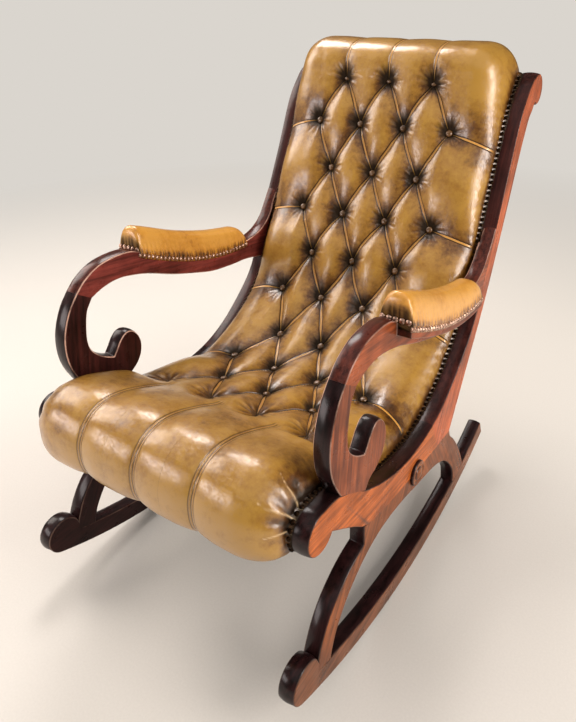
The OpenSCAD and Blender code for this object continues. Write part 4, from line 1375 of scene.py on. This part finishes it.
@dataclass
class RoundHeads:
    """Domed heads, either covered buttons or nails, one on each solid of a CAD node."""

    name: str
    node: str
    slot: str
    radius: float
    height: float
    profile: tuple
    sides: int
    seed: int = 3
    extra: tuple = ()
    tilt: float = 0.035
    uneven: float = 0.03

    def build(self, finish: Material) -> Object:
        """Makes all the heads as one mesh.

        Args:
            finish: Their material.

        Returns:
            The object.
        """
        rng = np.random.default_rng(self.seed)
        rings = np.array(self.profile)
        angle = np.linspace(0, 2 * math.pi, self.sides, endpoint=False)
        circle = np.stack([np.cos(angle), np.sin(angle)], 1)
        shape = np.concatenate([np.insert(r * circle, 2, z, axis=1) for r, z in rings])
        points, faces = [], []
        studs = [stud_axes(solid) for solid in islands(FRAME["nodes"][self.node])]
        studs += [(np.array(base), np.array(axis)) for base, axis in self.extra]
        for base, axis in studs:
            axis = axis + rng.normal(0, self.tilt, 3)
            axis /= np.linalg.norm(axis)
            side = np.cross(axis, (1, 0, 0) if abs(axis[0]) < 0.9 else (0, 1, 0))
            side /= np.linalg.norm(side)
            other = np.cross(axis, side)
            size = 1 + rng.uniform(-self.uneven, self.uneven)
            local = shape * (self.radius * size, self.radius * size, self.height)
            start = len(points) * len(shape)
            points.append(base + local @ np.stack([side, other, axis]))
            faces += [[start + v for v in f] for f in tube_faces(len(rings), self.sides)]
        heads = polygons_to_mesh(self.name, np.concatenate(points), faces)
        heads.data.materials.append(finish)
        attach(heads, "root")
        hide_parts(self.node)
        return heads


def crest_studs(cover: ButtonedLeather, side: int) -> tuple:
    """Places nails on the leather's edge beside the crest, above the row that the CAD node starts.

    Args:
        cover: The buttoned leather.
        side: 1 for the sitter's left, -1 for the right.

    Returns:
        Base and axis of each nail.
    """
    beside_x, lift = 0.263, 0.0021
    out = cover.line.outward([cover.crest_mark])[0]
    found = []
    for share in (0.04, -0.067, -0.174, -0.281, -0.388, -0.495):
        at = cover.crest_point(((share, 0.0),))[0] + out * lift
        found.append(((side * beside_x, *at), (0.0, *out)))
    return tuple(found)


def pad_front_studs(pad: "ArmPad") -> tuple:
    """Places nails across the foot of a pad's front.

    Args:
        pad: The arm pad.

    Returns:
        Base and axis of each nail.
    """
    first_x, spacing, count = 0.2705, 0.0113, 5
    y, z = pad.line.scaled(pad.top_shares)[int(pad.first)]
    forward = (0.0, -1.0, 0.1)
    places = ((pad.side * (first_x + spacing * i), y - pad.foot, z + 0.0035) for i in range(count))
    return tuple((place, forward) for place in places)


# Arm pads


@dataclass
class ArmPad:
    """A stuffed leather pad on one arm, nailed along its lower edge."""

    line: FrameLine
    side: int
    outer_x: float = 0.295
    limb_t: float = 0.030
    shelf_out: float = 0.026
    height: float = 0.054
    band: float = 0.0125
    first: float = 5.0
    last: float = 9.96
    top_shares: tuple = (
        (-0.347, 0.641), (-0.326, 0.662), (-0.292, 0.680), (-0.253, 0.685), (-0.218, 0.682), (-0.194, 0.672),
        (-0.135, 0.642), (-0.066, 0.612), (0.000, 0.591), (0.062, 0.580), (0.131, 0.577), (0.180, 0.587),
        (0.215, 0.611), (0.241, 0.648), (0.275, 0.700),
    )  # fmt: skip
    height_shares: tuple = (
        0.93, 0.98, 1.0, 1.01, 1.01, 1.0, 0.99, 0.98, 0.97, 0.96, 0.95, 0.93, 0.91, 0.885, 0.86, 0.83, 0.79,
        0.74, 0.68, 0.6,
    )  # fmt: skip
    length: float = 0.345
    # Length and roundness of the two ends.
    front_cap: tuple = (0.026, 2.3)
    rear_cap: tuple = (0.034, 2.2)
    foot: float = 0.0012
    sections: int = 130

    def __post_init__(self) -> None:
        """Works out half the pad's width and where its middle is."""
        self.half = (self.limb_t + self.shelf_out) / 2
        self.centre = self.outer_x + self.shelf_out - self.half

    def build(self, finish: Material) -> Object:
        """Makes the pad.

        Args:
            finish: Its leather.

        Returns:
            The object.
        """
        keys = self.line.scaled(self.top_shares)
        even = np.linspace(0, 1, self.sections)
        runs = 0.55 * ((1 - np.cos(np.linspace(0, math.pi, self.sections))) / 2) + 0.45 * even
        at = along(keys, self.first + (self.last - self.first) * runs)
        cap = 1.0
        for run, (reach, curve) in ((runs, self.front_cap), (1 - runs, self.rear_cap)):
            cap = cap * (1 - (1 - np.clip(run * self.length / reach, 0, 1)) ** curve) ** 0.5
        shares = np.array(self.height_shares)
        tall = np.interp(runs, np.linspace(0, 1, len(shares)), shares)
        tall = np.convolve(np.pad(tall, 3, mode="edge"), np.ones(7) / 7, "valid")
        tall = np.maximum(tall * cap, 0.02)
        made = [self._section(*values) for values in zip(runs, at, tall, cap)]
        points, hollow, scuffed = (np.concatenate(part) for part in zip(*made))
        side = "left_" if self.side > 0 else "right_"
        faces = tube_faces(self.sections, len(made[0][0]))
        pad = polygons_to_mesh(side + "arm_pad_leather", points, faces)
        store(pad, "hollow", hollow)
        store(pad, "tie", scuffed)
        pad.data.materials.append(finish)
        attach(pad, "root")
        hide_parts(side + "arm_pad")
        return pad

    def _section(
        self, run: float, at: np.ndarray, tall: float, cap: float
    ) -> tuple[np.ndarray, np.ndarray, np.ndarray]:
        """Works out one cross section, from the outer nailed band over the crown to the inner one.

        Args:
            run: Place along the pad, from 0 at the front to 1 at the rear.
            at: Where the arm's upper edge lies there, as y and z.
            tall: The crown's share of the full height.
            cap: How far the pad's end has risen, from 0 to 1.

        Returns:
            The points, how dark each is, and how scuffed each is.
        """
        y, z = at
        phi = np.linspace(0, math.pi, 49)
        across = np.sign(np.cos(phi)) * np.abs(np.cos(phi)) ** (2 / 2.7)
        raised = np.abs(np.sin(phi)) ** (2 / 2.3)
        flank = np.sign(across)
        wide = self.half * (0.96 + 0.07 * np.clip(cap, 0, 1))
        x = self.centre + across * wide * (1 - 0.05 * (1 - raised) * (1 - cap))
        x = x + 0.0016 * flank * (1 - raised) ** 4
        # Small tucks where the leather is nailed down.
        x = x + 0.0009 * np.sin(run * 190 + 0.7) * (1 - raised) ** 3 * flank
        outer, inner = self.centre + self.half + self.foot, self.centre - self.half - self.foot
        x = np.concatenate([[outer, outer], x, [inner, inner]])
        band = [z - self.band, z - 0.001]
        heights = np.concatenate([band, z + raised * tall * self.height, band[::-1]])
        lean = np.clip((heights - z) / self.height, 0, 1)
        shift = -0.004 * lean * (1 - smoothstep(run, 0.0, 0.14)) + 0.012 * lean * smoothstep(run, 0.86, 1.0)
        ripple = (x - self.centre) / self.half
        worn = (1 - smoothstep(run, 0.006, 0.034)) * (1 - smoothstep(lean, 0.3, 0.8))
        worn = worn * (0.85 + 0.15 * np.sin(23 * ripple + 3 * np.sin(5 * ripple)))
        # The pad's foot by the nails is darker, with streaks of painted shade where it gathers.
        streak = 0.5 + 0.5 * np.sin(run * 233 + 2 * np.sin(run * 61))
        low = (0.30 + 0.5 * streak) * (1 - smoothstep(lean, 0.02, 0.30))
        points = np.stack([x * self.side, y + shift, heights], 1)
        return points, np.maximum(0.5 * worn, low), 0.7 * worn


# Woodwork


LIMBS = ("stile", "seat_rail", "front_leg", "rear_leg", "rocker", "arm_rest", "arm_scroll")


@dataclass
class Woodwork:
    """The sawn, turned and joined pieces, with eased edges.

    The limbs of the side frames are shown by copies of the CAD solids, crowned across their narrow faces. The
    others keep their CAD meshes.
    """

    ease: float = 0.0024
    crown: float = 0.0026
    strips: int = 6
    outer_x: float = 0.295
    # The area of the smallest broad face and the length of the shortest edge that count for an arris.
    broad: float = 1e-4
    shortest: float = 0.002
    # Faces that meet at more than the first angle have an arris, and within the second they are one face.
    sharp: float = math.radians(34)
    level: float = math.radians(0.6)

    def dress(self, node: str, finish: Material, width: float | None = None) -> None:
        """Eases a node's edges and gives it a finish.

        Args:
            node: The CAD node's name.
            finish: Its material.
            width: The eased edge's width, or none for the usual one.
        """
        item = FRAME["nodes"][node]
        item.data.materials.clear()
        item.data.materials.append(finish)
        self._ease(item, width or self.ease)

    def shape(self, node: str, finish: Material) -> None:
        """Replaces a limb with one whose narrow edges are planed to a slight crown across their thickness.

        Args:
            node: The CAD node's name.
            finish: Its material.
        """
        source = FRAME["nodes"][node]
        item = bpy.data.objects.new(node + "_polished", source.data.copy())
        bpy.context.scene.collection.objects.link(item)
        item.data.materials.clear()
        item.data.materials.append(finish)
        side = node.split("_")[0]
        neighbours = [self._tree(side + "_" + k) for k in LIMBS if side + "_" + k != node]
        work = bmesh.new()
        work.from_mesh(item.data)
        bmesh.ops.remove_doubles(work, verts=work.verts, dist=2e-4)
        bmesh.ops.dissolve_limit(work, angle_limit=self.level, verts=work.verts, edges=work.edges)
        # The arm rest's shelf for the pad stands out past the limb's thickness, and isn't crowned.
        sideways = sorted((v.co.x for v in work.verts), key=abs)
        outer = math.copysign(min(abs(sideways[-1]), self.outer_x), sideways[-1])
        low, high = sorted((sideways[0], outer))
        for k in range(1, self.strips):
            every = [*work.verts, *work.edges, *work.faces]
            across = (low + (high - low) * k / self.strips, 0, 0)
            bmesh.ops.bisect_plane(work, geom=every, dist=1e-6, plane_co=across, plane_no=(1, 0, 0))
        work.normal_update()
        work.faces.index_update()
        work.verts.index_update()
        joined = [self._touches(v.co, neighbours) for v in work.verts]
        self._weigh_edges(work, joined)
        self._crown_faces(work, joined, (low + high) / 2, (high - low) / 2, "rocker" in node)
        work.to_mesh(item.data)
        work.free()
        self._ease(item, self.ease, by_weight=True)
        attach(item, "root")
        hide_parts(node)

    def _weigh_edges(self, work: bmesh.types.BMesh, joined: list[bool]) -> None:
        """Gives a weight to the edges that are eased, and marks the other sharp ones.

        Args:
            work: The limb.
            joined: Whether each vertex lies on a neighbouring limb.
        """
        weight = work.edges.layers.float.new("bevel_weight_edge")
        for edge in work.edges:
            # The rims of the dowels' holes, which are short edges between small faces, stay as they are.
            sharp = len(edge.link_faces) == 2 and edge.calc_face_angle(0) > self.sharp
            arris = any(abs(f.normal.x) > 0.9 and f.calc_area() > self.broad for f in edge.link_faces)
            eased = sharp and (arris or edge.calc_length() > self.shortest)
            eased = eased and not all(joined[v.index] for v in edge.verts)
            edge[weight] = float(eased)
            edge.smooth = eased or not sharp

    def _crown_faces(
        self, work: bmesh.types.BMesh, joined: list[bool], middle: float, half: float, stands: bool
    ) -> None:
        """Raises the middle of the narrow faces, so that light runs along them as on a planed edge.

        Args:
            work: The limb.
            joined: Whether each vertex lies on a neighbouring limb.
            middle: Where the limb's thickness has its middle.
            half: Half its thickness.
            stands: Whether the limb stands on the floor.
        """
        glued = [all(joined[v.index] for v in f.verts) for f in work.faces]
        moves = []
        for vertex in work.verts:
            # Joints stay tight, and the runners stay flat where they stand on the floor.
            free = [f.normal for f in vertex.link_faces if abs(f.normal.x) < 0.5 and not glued[f.index]]
            away = sum(free, Vector())
            if away.length > 0.1 and not (stands and away.normalized().z < -0.3):
                share = max(0.0, 1 - ((vertex.co.x - middle) / half) ** 2)
                moves.append((vertex, away.normalized() * self.crown * share))
        for vertex, move in moves:
            vertex.co += move

    @staticmethod
    def _tree(node: str) -> BVHTree:
        """Makes a search tree over the faces of a CAD node.

        Args:
            node: The node's name.

        Returns:
            The tree.
        """
        mesh = FRAME["nodes"][node].data
        corners = [v.co[:] for v in mesh.vertices]
        return BVHTree.FromPolygons(corners, [list(p.vertices) for p in mesh.polygons])

    @staticmethod
    def _touches(place: Vector, neighbours: list[BVHTree]) -> bool:
        """Tells whether a point lies on a neighbouring limb, within 0.9 mm."""
        return any(tree.find_nearest(place, 0.0009)[0] is not None for tree in neighbours)

    def _ease(self, item: Object, width: float, by_weight: bool = False) -> None:
        """Eases the edges of a piece.

        Args:
            item: The piece.
            width: The eased edge's width in metres.
            by_weight: Whether the edges carry weights that say which are eased.
        """
        weld = item.modifiers.new("weld", "WELD")
        weld.merge_threshold = 1e-5
        flat = item.modifiers.new("flat", "DECIMATE")
        flat.decimate_type = "DISSOLVE"
        flat.angle_limit = self.level
        bevel = item.modifiers.new("eased", "BEVEL")
        bevel.width = width
        bevel.segments = 3
        bevel.limit_method = "WEIGHT" if by_weight else "ANGLE"
        bevel.angle_limit = self.sharp
        bevel.harden_normals = False
        bevel.use_clamp_overlap = not by_weight
        for polygon in item.data.polygons:
            polygon.use_smooth = True
        normals = item.modifiers.new("normals", "WEIGHTED_NORMAL")
        normals.keep_sharp = by_weight

    def build(self) -> None:
        """Dresses every wooden, steel and hidden piece."""
        polish = FrenchPolishedMahogany
        name = "French polished mahogany, "
        leg = {"outer": "#98562E", "outer_dark": "#62351E"}
        # The narrow and inner colours here are painted shade: darker copies of each piece's outer colour.
        shaded_narrow = {"narrow": "#4C2621", "narrow_dark": "#301715"}
        red_shaded_narrow = {"narrow": "#643025", "narrow_dark": "#3A1A15"}
        red_shaded_inside = {"inner": "#8E4038", "inner_dark": "#5C2823", "wear": 0.85}
        woods = {
            "stile": polish(name + "stile", Member.STILE, "#CC683C", "#864022", **shaded_narrow),
            "seat_rail": polish(name + "rail", Member.RAIL, "#CC6C32", "#864520"),
            "front_leg": polish(name + "front leg", Member.FRONT_LEG, **leg),
            "rear_leg": polish(name + "rear leg", Member.REAR_LEG, **leg),
            "rocker": polish(name + "rocker", Member.ROCKER, "#905838", "#5C3622"),
            "arm_rest": polish(name + "arm", Member.ARM, "#A85630", "#69331E", **red_shaded_narrow, **red_shaded_inside),
            "arm_scroll": polish(name + "scroll", Member.SCROLL, "#9E5634", "#643220", "#4A2320", wear=0.85),
            "boss": polish("turned mahogany, boss", Member.RAIL, "#A5663F", "#6E3F28", wear=0.2),
        }
        for kind, finish in woods.items():
            material = finish.build()
            for side in ("left_", "right_"):
                if kind == "boss":
                    self.dress(side + kind, material, 0.0008)
                else:
                    self.shape(side + kind, material)
        self.dress("stretcher", polish("turned mahogany, stretcher", Member.ACROSS).build(), 0.001)
        hidden = {"narrow": "#5C3020", "narrow_dark": "#351A12", "wear": 0.1}
        stained = polish("stained mahogany, rear rail", Member.ACROSS, **hidden)
        self.dress("rear_seat_rail", stained.build(), 0.0016)
        beech = SawnBeech().build()
        inner = ["crest_rail", "lumbar_rail", "front_seat_rail", "corner_blocks"]
        inner += [s + k for s in ("left_", "right_") for k in ("tacking_battens", "frame_dowels")]
        for node in inner:
            self.dress(node, beech, 0.0008)
        steel = BrownedSteel().build()
        for node in ("stretcher_bolts", "stretcher_nuts"):
            self.dress(node, steel, 0.0006)
        webbing = JuteWeave("woven jute webbing", 2.4).build()
        # Hessian threads are 1.5 mm apart.
        hessian = JuteWeave("hessian", 1.5, "#B39B6C", "#6E5A36").build()
        calico = BlackCalico().build()
        cloths = {"back_webbing": webbing, "seat_webbing": webbing, "hessian": hessian, "dust_cover": calico}
        for node, cloth in cloths.items():
            item = FRAME["nodes"][node]
            item.data.materials.clear()
            item.data.materials.append(cloth)


# Outside back


@dataclass
class OutsideBack:
    """Plain leather over the back of the frame, slightly padded and nailed at its edges."""

    line: FrameLine
    inner_x: float = 0.2565
    depth: float = 0.003
    border: float = 0.03
    under: float = 0.0012

    def build(self, finish: Material) -> Object:
        """Makes the panel as a shallow cushion over the CAD sheet.

        Args:
            finish: Its leather.

        Returns:
            The object.
        """
        node = FRAME["nodes"]["outside_back"]
        points = np.array([v.co for v in node.data.vertices])
        edge = points[np.abs(points[:, 0] - points[:, 0].max()) < 1e-5][:, 1:]
        edge = np.unique(np.round(edge, 6), axis=0)
        rear = self._rear_side(edge[np.argsort(-edge[:, 1])])
        length = lengths(rear)
        s = np.linspace(0, length[-1], 120)
        path = np.stack([np.interp(s, length, rear[:, k]) for k in (0, 1)], 1)
        direction = unit(np.gradient(path, axis=0))
        normal = np.stack([-direction[:, 1], direction[:, 0]], 1)
        if normal[len(normal) // 2][0] < 0:
            normal = -normal
        x = np.linspace(-self.inner_x, self.inner_x, 110)
        puff = 1.0
        for inward in ((self.inner_x - np.abs(x))[None, :], np.minimum(s, length[-1] - s)[:, None]):
            share = np.clip(inward / self.border, 0, 1)
            puff = puff * np.sqrt(np.clip(1 - (1 - share) ** 2, 0, 1))
        sag = self.depth * puff * (1 + 0.25 * np.sin(21 * x)[None, :] * np.sin(17 * s)[:, None])
        grid = np.zeros((len(s), len(x), 3))
        grid[:, :, 0] = x[None, :]
        grid[:, :, 1] = path[:, 0:1] + normal[:, 0:1] * sag
        grid[:, :, 2] = path[:, 1:2] + normal[:, 1:2] * sag
        behind = (path - normal * self.under).T
        under = [np.stack([np.full(len(s), end), *behind], 1) for end in (x[-1], x[0])]
        ring = np.concatenate([grid, np.stack(under, 1)], 1)
        faces = tube_faces(len(s), ring.shape[1])
        panel = polygons_to_mesh("outside_back_leather", ring.reshape(-1, 3), faces)
        shade = np.concatenate([0.35 * (1 - puff), np.full((len(s), 2), 0.4)], 1)
        store(panel, "hollow", shade.ravel())
        store(panel, "tie", np.zeros(shade.size))
        panel.data.materials.append(finish)
        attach(panel, "root")
        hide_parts("outside_back")
        return panel

    @staticmethod
    def _rear_side(edge: np.ndarray) -> np.ndarray:
        """Picks the points on the rear side of the sheet's end outline.

        Args:
            edge: The outline's points as y and z, from top to bottom.

        Returns:
            Those that have no point behind them within the sheet's thickness.
        """
        keep = []
        for p in edge:
            near = edge[np.linalg.norm(edge - p, axis=1) < 0.0045]
            if p[0] >= near[:, 0].max() - 1e-6:
                keep.append(p)
        return np.array(keep)


# Studio


@dataclass
class Studio:
    """Pale floor, soft lamps and the camera at the photograph's place."""

    focal_px: float = 658.39
    image: tuple = (576, 722)
    axis_px: tuple = (335.53, 262.29)
    yaw: float = 31.96
    pitch: float = 23.14
    roll: float = -0.69
    position: tuple = (0.6896, -1.0027, 1.0840)
    backdrop: str = "#DAD5CE"

    def build(self) -> None:
        """Makes the floor, the lamps, the world and the camera."""
        self._floor()
        self._world()
        for lamp in (
            ("window_left", (-2.6, -0.3, 2.2), (0, 0, 0.5), (1.7, 1.8), 58, "#FFF6EE"),
            ("window_front", (-1.4, -2.1, 1.0), (0, -0.2, 0.5), (1.4, 0.7), 22, "#FFF4F2"),
            ("window_right", (2.3, -0.15, 1.35), (0, 0.1, 0.6), (0.9, 1.8), 56, "#FFF8F2"),
            ("skylight", (-1.2, 0.9, 2.4), (0, -0.1, 0.4), (0.9, 0.9), 34, "#FFF8F4"),
        ):
            self._lamp(*lamp)
        self._sun()
        self._camera()

    def _floor(self) -> None:
        """Makes the plain pale floor."""
        far = 40.0
        corners = np.array([[-far, -far, 0], [far, -far, 0], [far, far, 0], [-far, far, 0]])
        floor = polygons_to_mesh("studio_floor", corners, [[0, 1, 2, 3]], False)
        material, tree, shader = surface("matt studio board", {"Roughness": 0.85, "Specular IOR Level": 0.2})
        grain = noise(tree, place(tree), 4, 3)
        tree.links.new(ramp(tree, grain, [(0.2, "#CFCAC3"), (0.8, "#D5D0C9")]), shader.inputs["Base Color"])
        # Away from the chair the board fades into the plain backdrop, so no horizon shows.
        distance = add(tree, "ShaderNodeVectorMath", {"operation": "LENGTH"}, links={0: place(tree)})
        away = ramp(tree, maths(tree, "MULTIPLY", distance.outputs["Value"], 0.2), [(0.22, 0.0), (0.62, 1.0)])
        seen = maths(tree, "MULTIPLY", away, add(tree, "ShaderNodeLightPath").outputs["Is Camera Ray"])
        backdrop = add(tree, "ShaderNodeEmission", values={"Color": linear(self.backdrop), "Strength": 1.0})
        shown = {0: seen, 1: shader.outputs[0], 2: backdrop.outputs[0]}
        mixed = add(tree, "ShaderNodeMixShader", links=shown)
        output = next(node for node in tree.nodes if node.type == "OUTPUT_MATERIAL")
        tree.links.new(mixed.outputs[0], output.inputs["Surface"])
        floor.data.materials.append(material)

    def _world(self) -> None:
        """Lights the scene softly from all round and shows a pale background."""
        world = bpy.data.worlds.new("studio")
        bpy.context.scene.world = world
        world.use_nodes = True
        tree = world.node_tree
        tree.nodes.clear()
        seen = add(tree, "ShaderNodeBackground", values={"Color": linear(self.backdrop), "Strength": 1.0})
        soft = add(tree, "ShaderNodeBackground", values={"Color": linear("#F7F3EC"), "Strength": 0.42})
        dim = add(tree, "ShaderNodeBackground", values={"Color": linear("#CCC4B8"), "Strength": 0.10})
        rays = add(tree, "ShaderNodeLightPath")
        glossy = {0: rays.outputs["Is Glossy Ray"], 1: soft.outputs[0], 2: dim.outputs[0]}
        lit = add(tree, "ShaderNodeMixShader", links=glossy)
        shown = {0: rays.outputs["Is Camera Ray"], 1: lit.outputs[0], 2: seen.outputs[0]}
        mixed = add(tree, "ShaderNodeMixShader", links=shown)
        add(tree, "ShaderNodeOutputWorld", links={"Surface": mixed.outputs[0]})

    @staticmethod
    def _sun() -> None:
        """Adds a very soft even light from above."""
        data = bpy.data.lights.new("sky_light", "SUN")
        data.angle = math.radians(70)
        data.energy = 0.5
        sun = bpy.data.objects.new("sky_light", data)
        sun.rotation_euler = (math.radians(18), math.radians(8), 0)
        bpy.context.scene.collection.objects.link(sun)

    @staticmethod
    def _lamp(name: str, at: tuple, target: tuple, size: tuple, power: float, colour: str) -> None:
        """Adds a soft rectangular lamp.

        Args:
            name: The lamp's name.
            at: Its place in metres.
            target: The place that it faces.
            size: Its width and height in metres.
            power: Its power in watts.
            colour: Its hex colour.
        """
        data = bpy.data.lights.new(name, "AREA")
        data.shape = "RECTANGLE"
        data.size, data.size_y = size
        data.energy = power
        data.color = linear(colour)[:3]
        lamp = bpy.data.objects.new(name, data)
        lamp.location = at
        lamp.rotation_euler = (Vector(target) - Vector(at)).to_track_quat("-Z", "Y").to_euler()
        bpy.context.scene.collection.objects.link(lamp)

    def _camera(self) -> None:
        """Sets the camera from the fitted pinhole camera."""
        yaw, pitch, roll = (math.radians(a) for a in (self.yaw, self.pitch, self.roll))
        level = math.cos(pitch)
        forward = Vector((-math.sin(yaw) * level, math.cos(yaw) * level, -math.sin(pitch)))
        right = Vector((math.cos(yaw), math.sin(yaw), 0))
        up = right.cross(forward)
        side = right * math.cos(roll) + up * math.sin(roll)
        above = -right * math.sin(roll) + up * math.cos(roll)
        data = bpy.data.cameras.new("camera")
        width, height = self.image
        longest = max(width, height)
        data.sensor_fit = "AUTO"
        data.sensor_width = 36
        data.lens = 36 * self.focal_px / longest
        data.shift_x = -(self.axis_px[0] - width / 2) / longest
        data.shift_y = (self.axis_px[1] - height / 2) / longest
        data.clip_start = 0.02
        camera = bpy.data.objects.new("camera", data)
        bpy.context.scene.collection.objects.link(camera)
        turn = Matrix((side, above, -forward)).transposed()
        camera.matrix_world = Matrix.Translation(self.position) @ turn.to_4x4()
        bpy.context.scene.camera = camera


def main() -> None:
    """Builds the scene."""
    logging.basicConfig(level=logging.INFO, format="%(name)s: %(message)s")
    for item in list(bpy.data.objects):
        bpy.data.objects.remove(item)
    FRAME.update(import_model())
    bpy.context.scene.view_settings.view_transform = "Standard"
    line = FrameLine()

    Woodwork().build()
    log.info("woodwork dressed")

    hide = AntiquedHide("antiqued cowhide, buttoned", pleats=True, seams=True).build()
    cover = ButtonedLeather(line)
    cover.build(hide)
    # The buttons wear a darker copy of the cowhide: painted shade, as they sit deep in the tufts.
    name = "antiqued cowhide, buttons"
    covered = AntiquedHide(name, rubbed="#5E421E", body="#453016", shade="#2A1B0C", roughness=0.3).build()
    domes = RoundHeads("covered_buttons", "buttons", "button_leather", 0.0074, 0.0062, BUTTON_PROFILE, 28)
    domes.build(covered)

    # The pads wear a paler copy of the cowhide: painted light, as they sit in the brightest light.
    name = "antiqued cowhide, arm pads"
    lit_pad_hide = AntiquedHide(name, rubbed="#D6A449", body="#C89339", shade="#8A5C26", pit="#1E120B").build()
    pads = {side: ArmPad(line, side) for side in (1, -1)}
    for pad in pads.values():
        pad.build(lit_pad_hide)
    name = "antiqued cowhide, outside back"
    plain_hide = AntiquedHide(name, rubbed="#7C5A26", body="#65471E", shade="#3E2812").build()
    OutsideBack(line).build(plain_hide)

    brass = AntiquedBrass().build()
    # The pad nails are a paler copy of the brass: painted highlight, as they sit in the bright light on the
    # pads.
    bright = AntiquedBrass("antiqued brass, pad nails", "#E0BDA8", "#7A5646").build()
    for side, name in ((1, "left_"), (-1, "right_")):
        shape = {"slot": "nail_brass", "profile": NAIL_PROFILE, "sides": 14}
        beside = crest_studs(cover, side)
        nails = (name + "side_nail_domes", name + "side_nails")
        RoundHeads(*nails, radius=0.0044, height=0.0031, extra=beside, **shape).build(brass)
        front = pad_front_studs(pads[side])
        nails = (name + "pad_nail_domes", name + "arm_pad_nails")
        RoundHeads(*nails, radius=0.0050, height=0.0035, extra=front, **shape).build(bright)
    log.info("nails driven")

    Studio().build()


if __name__ == "__main__":
    main()
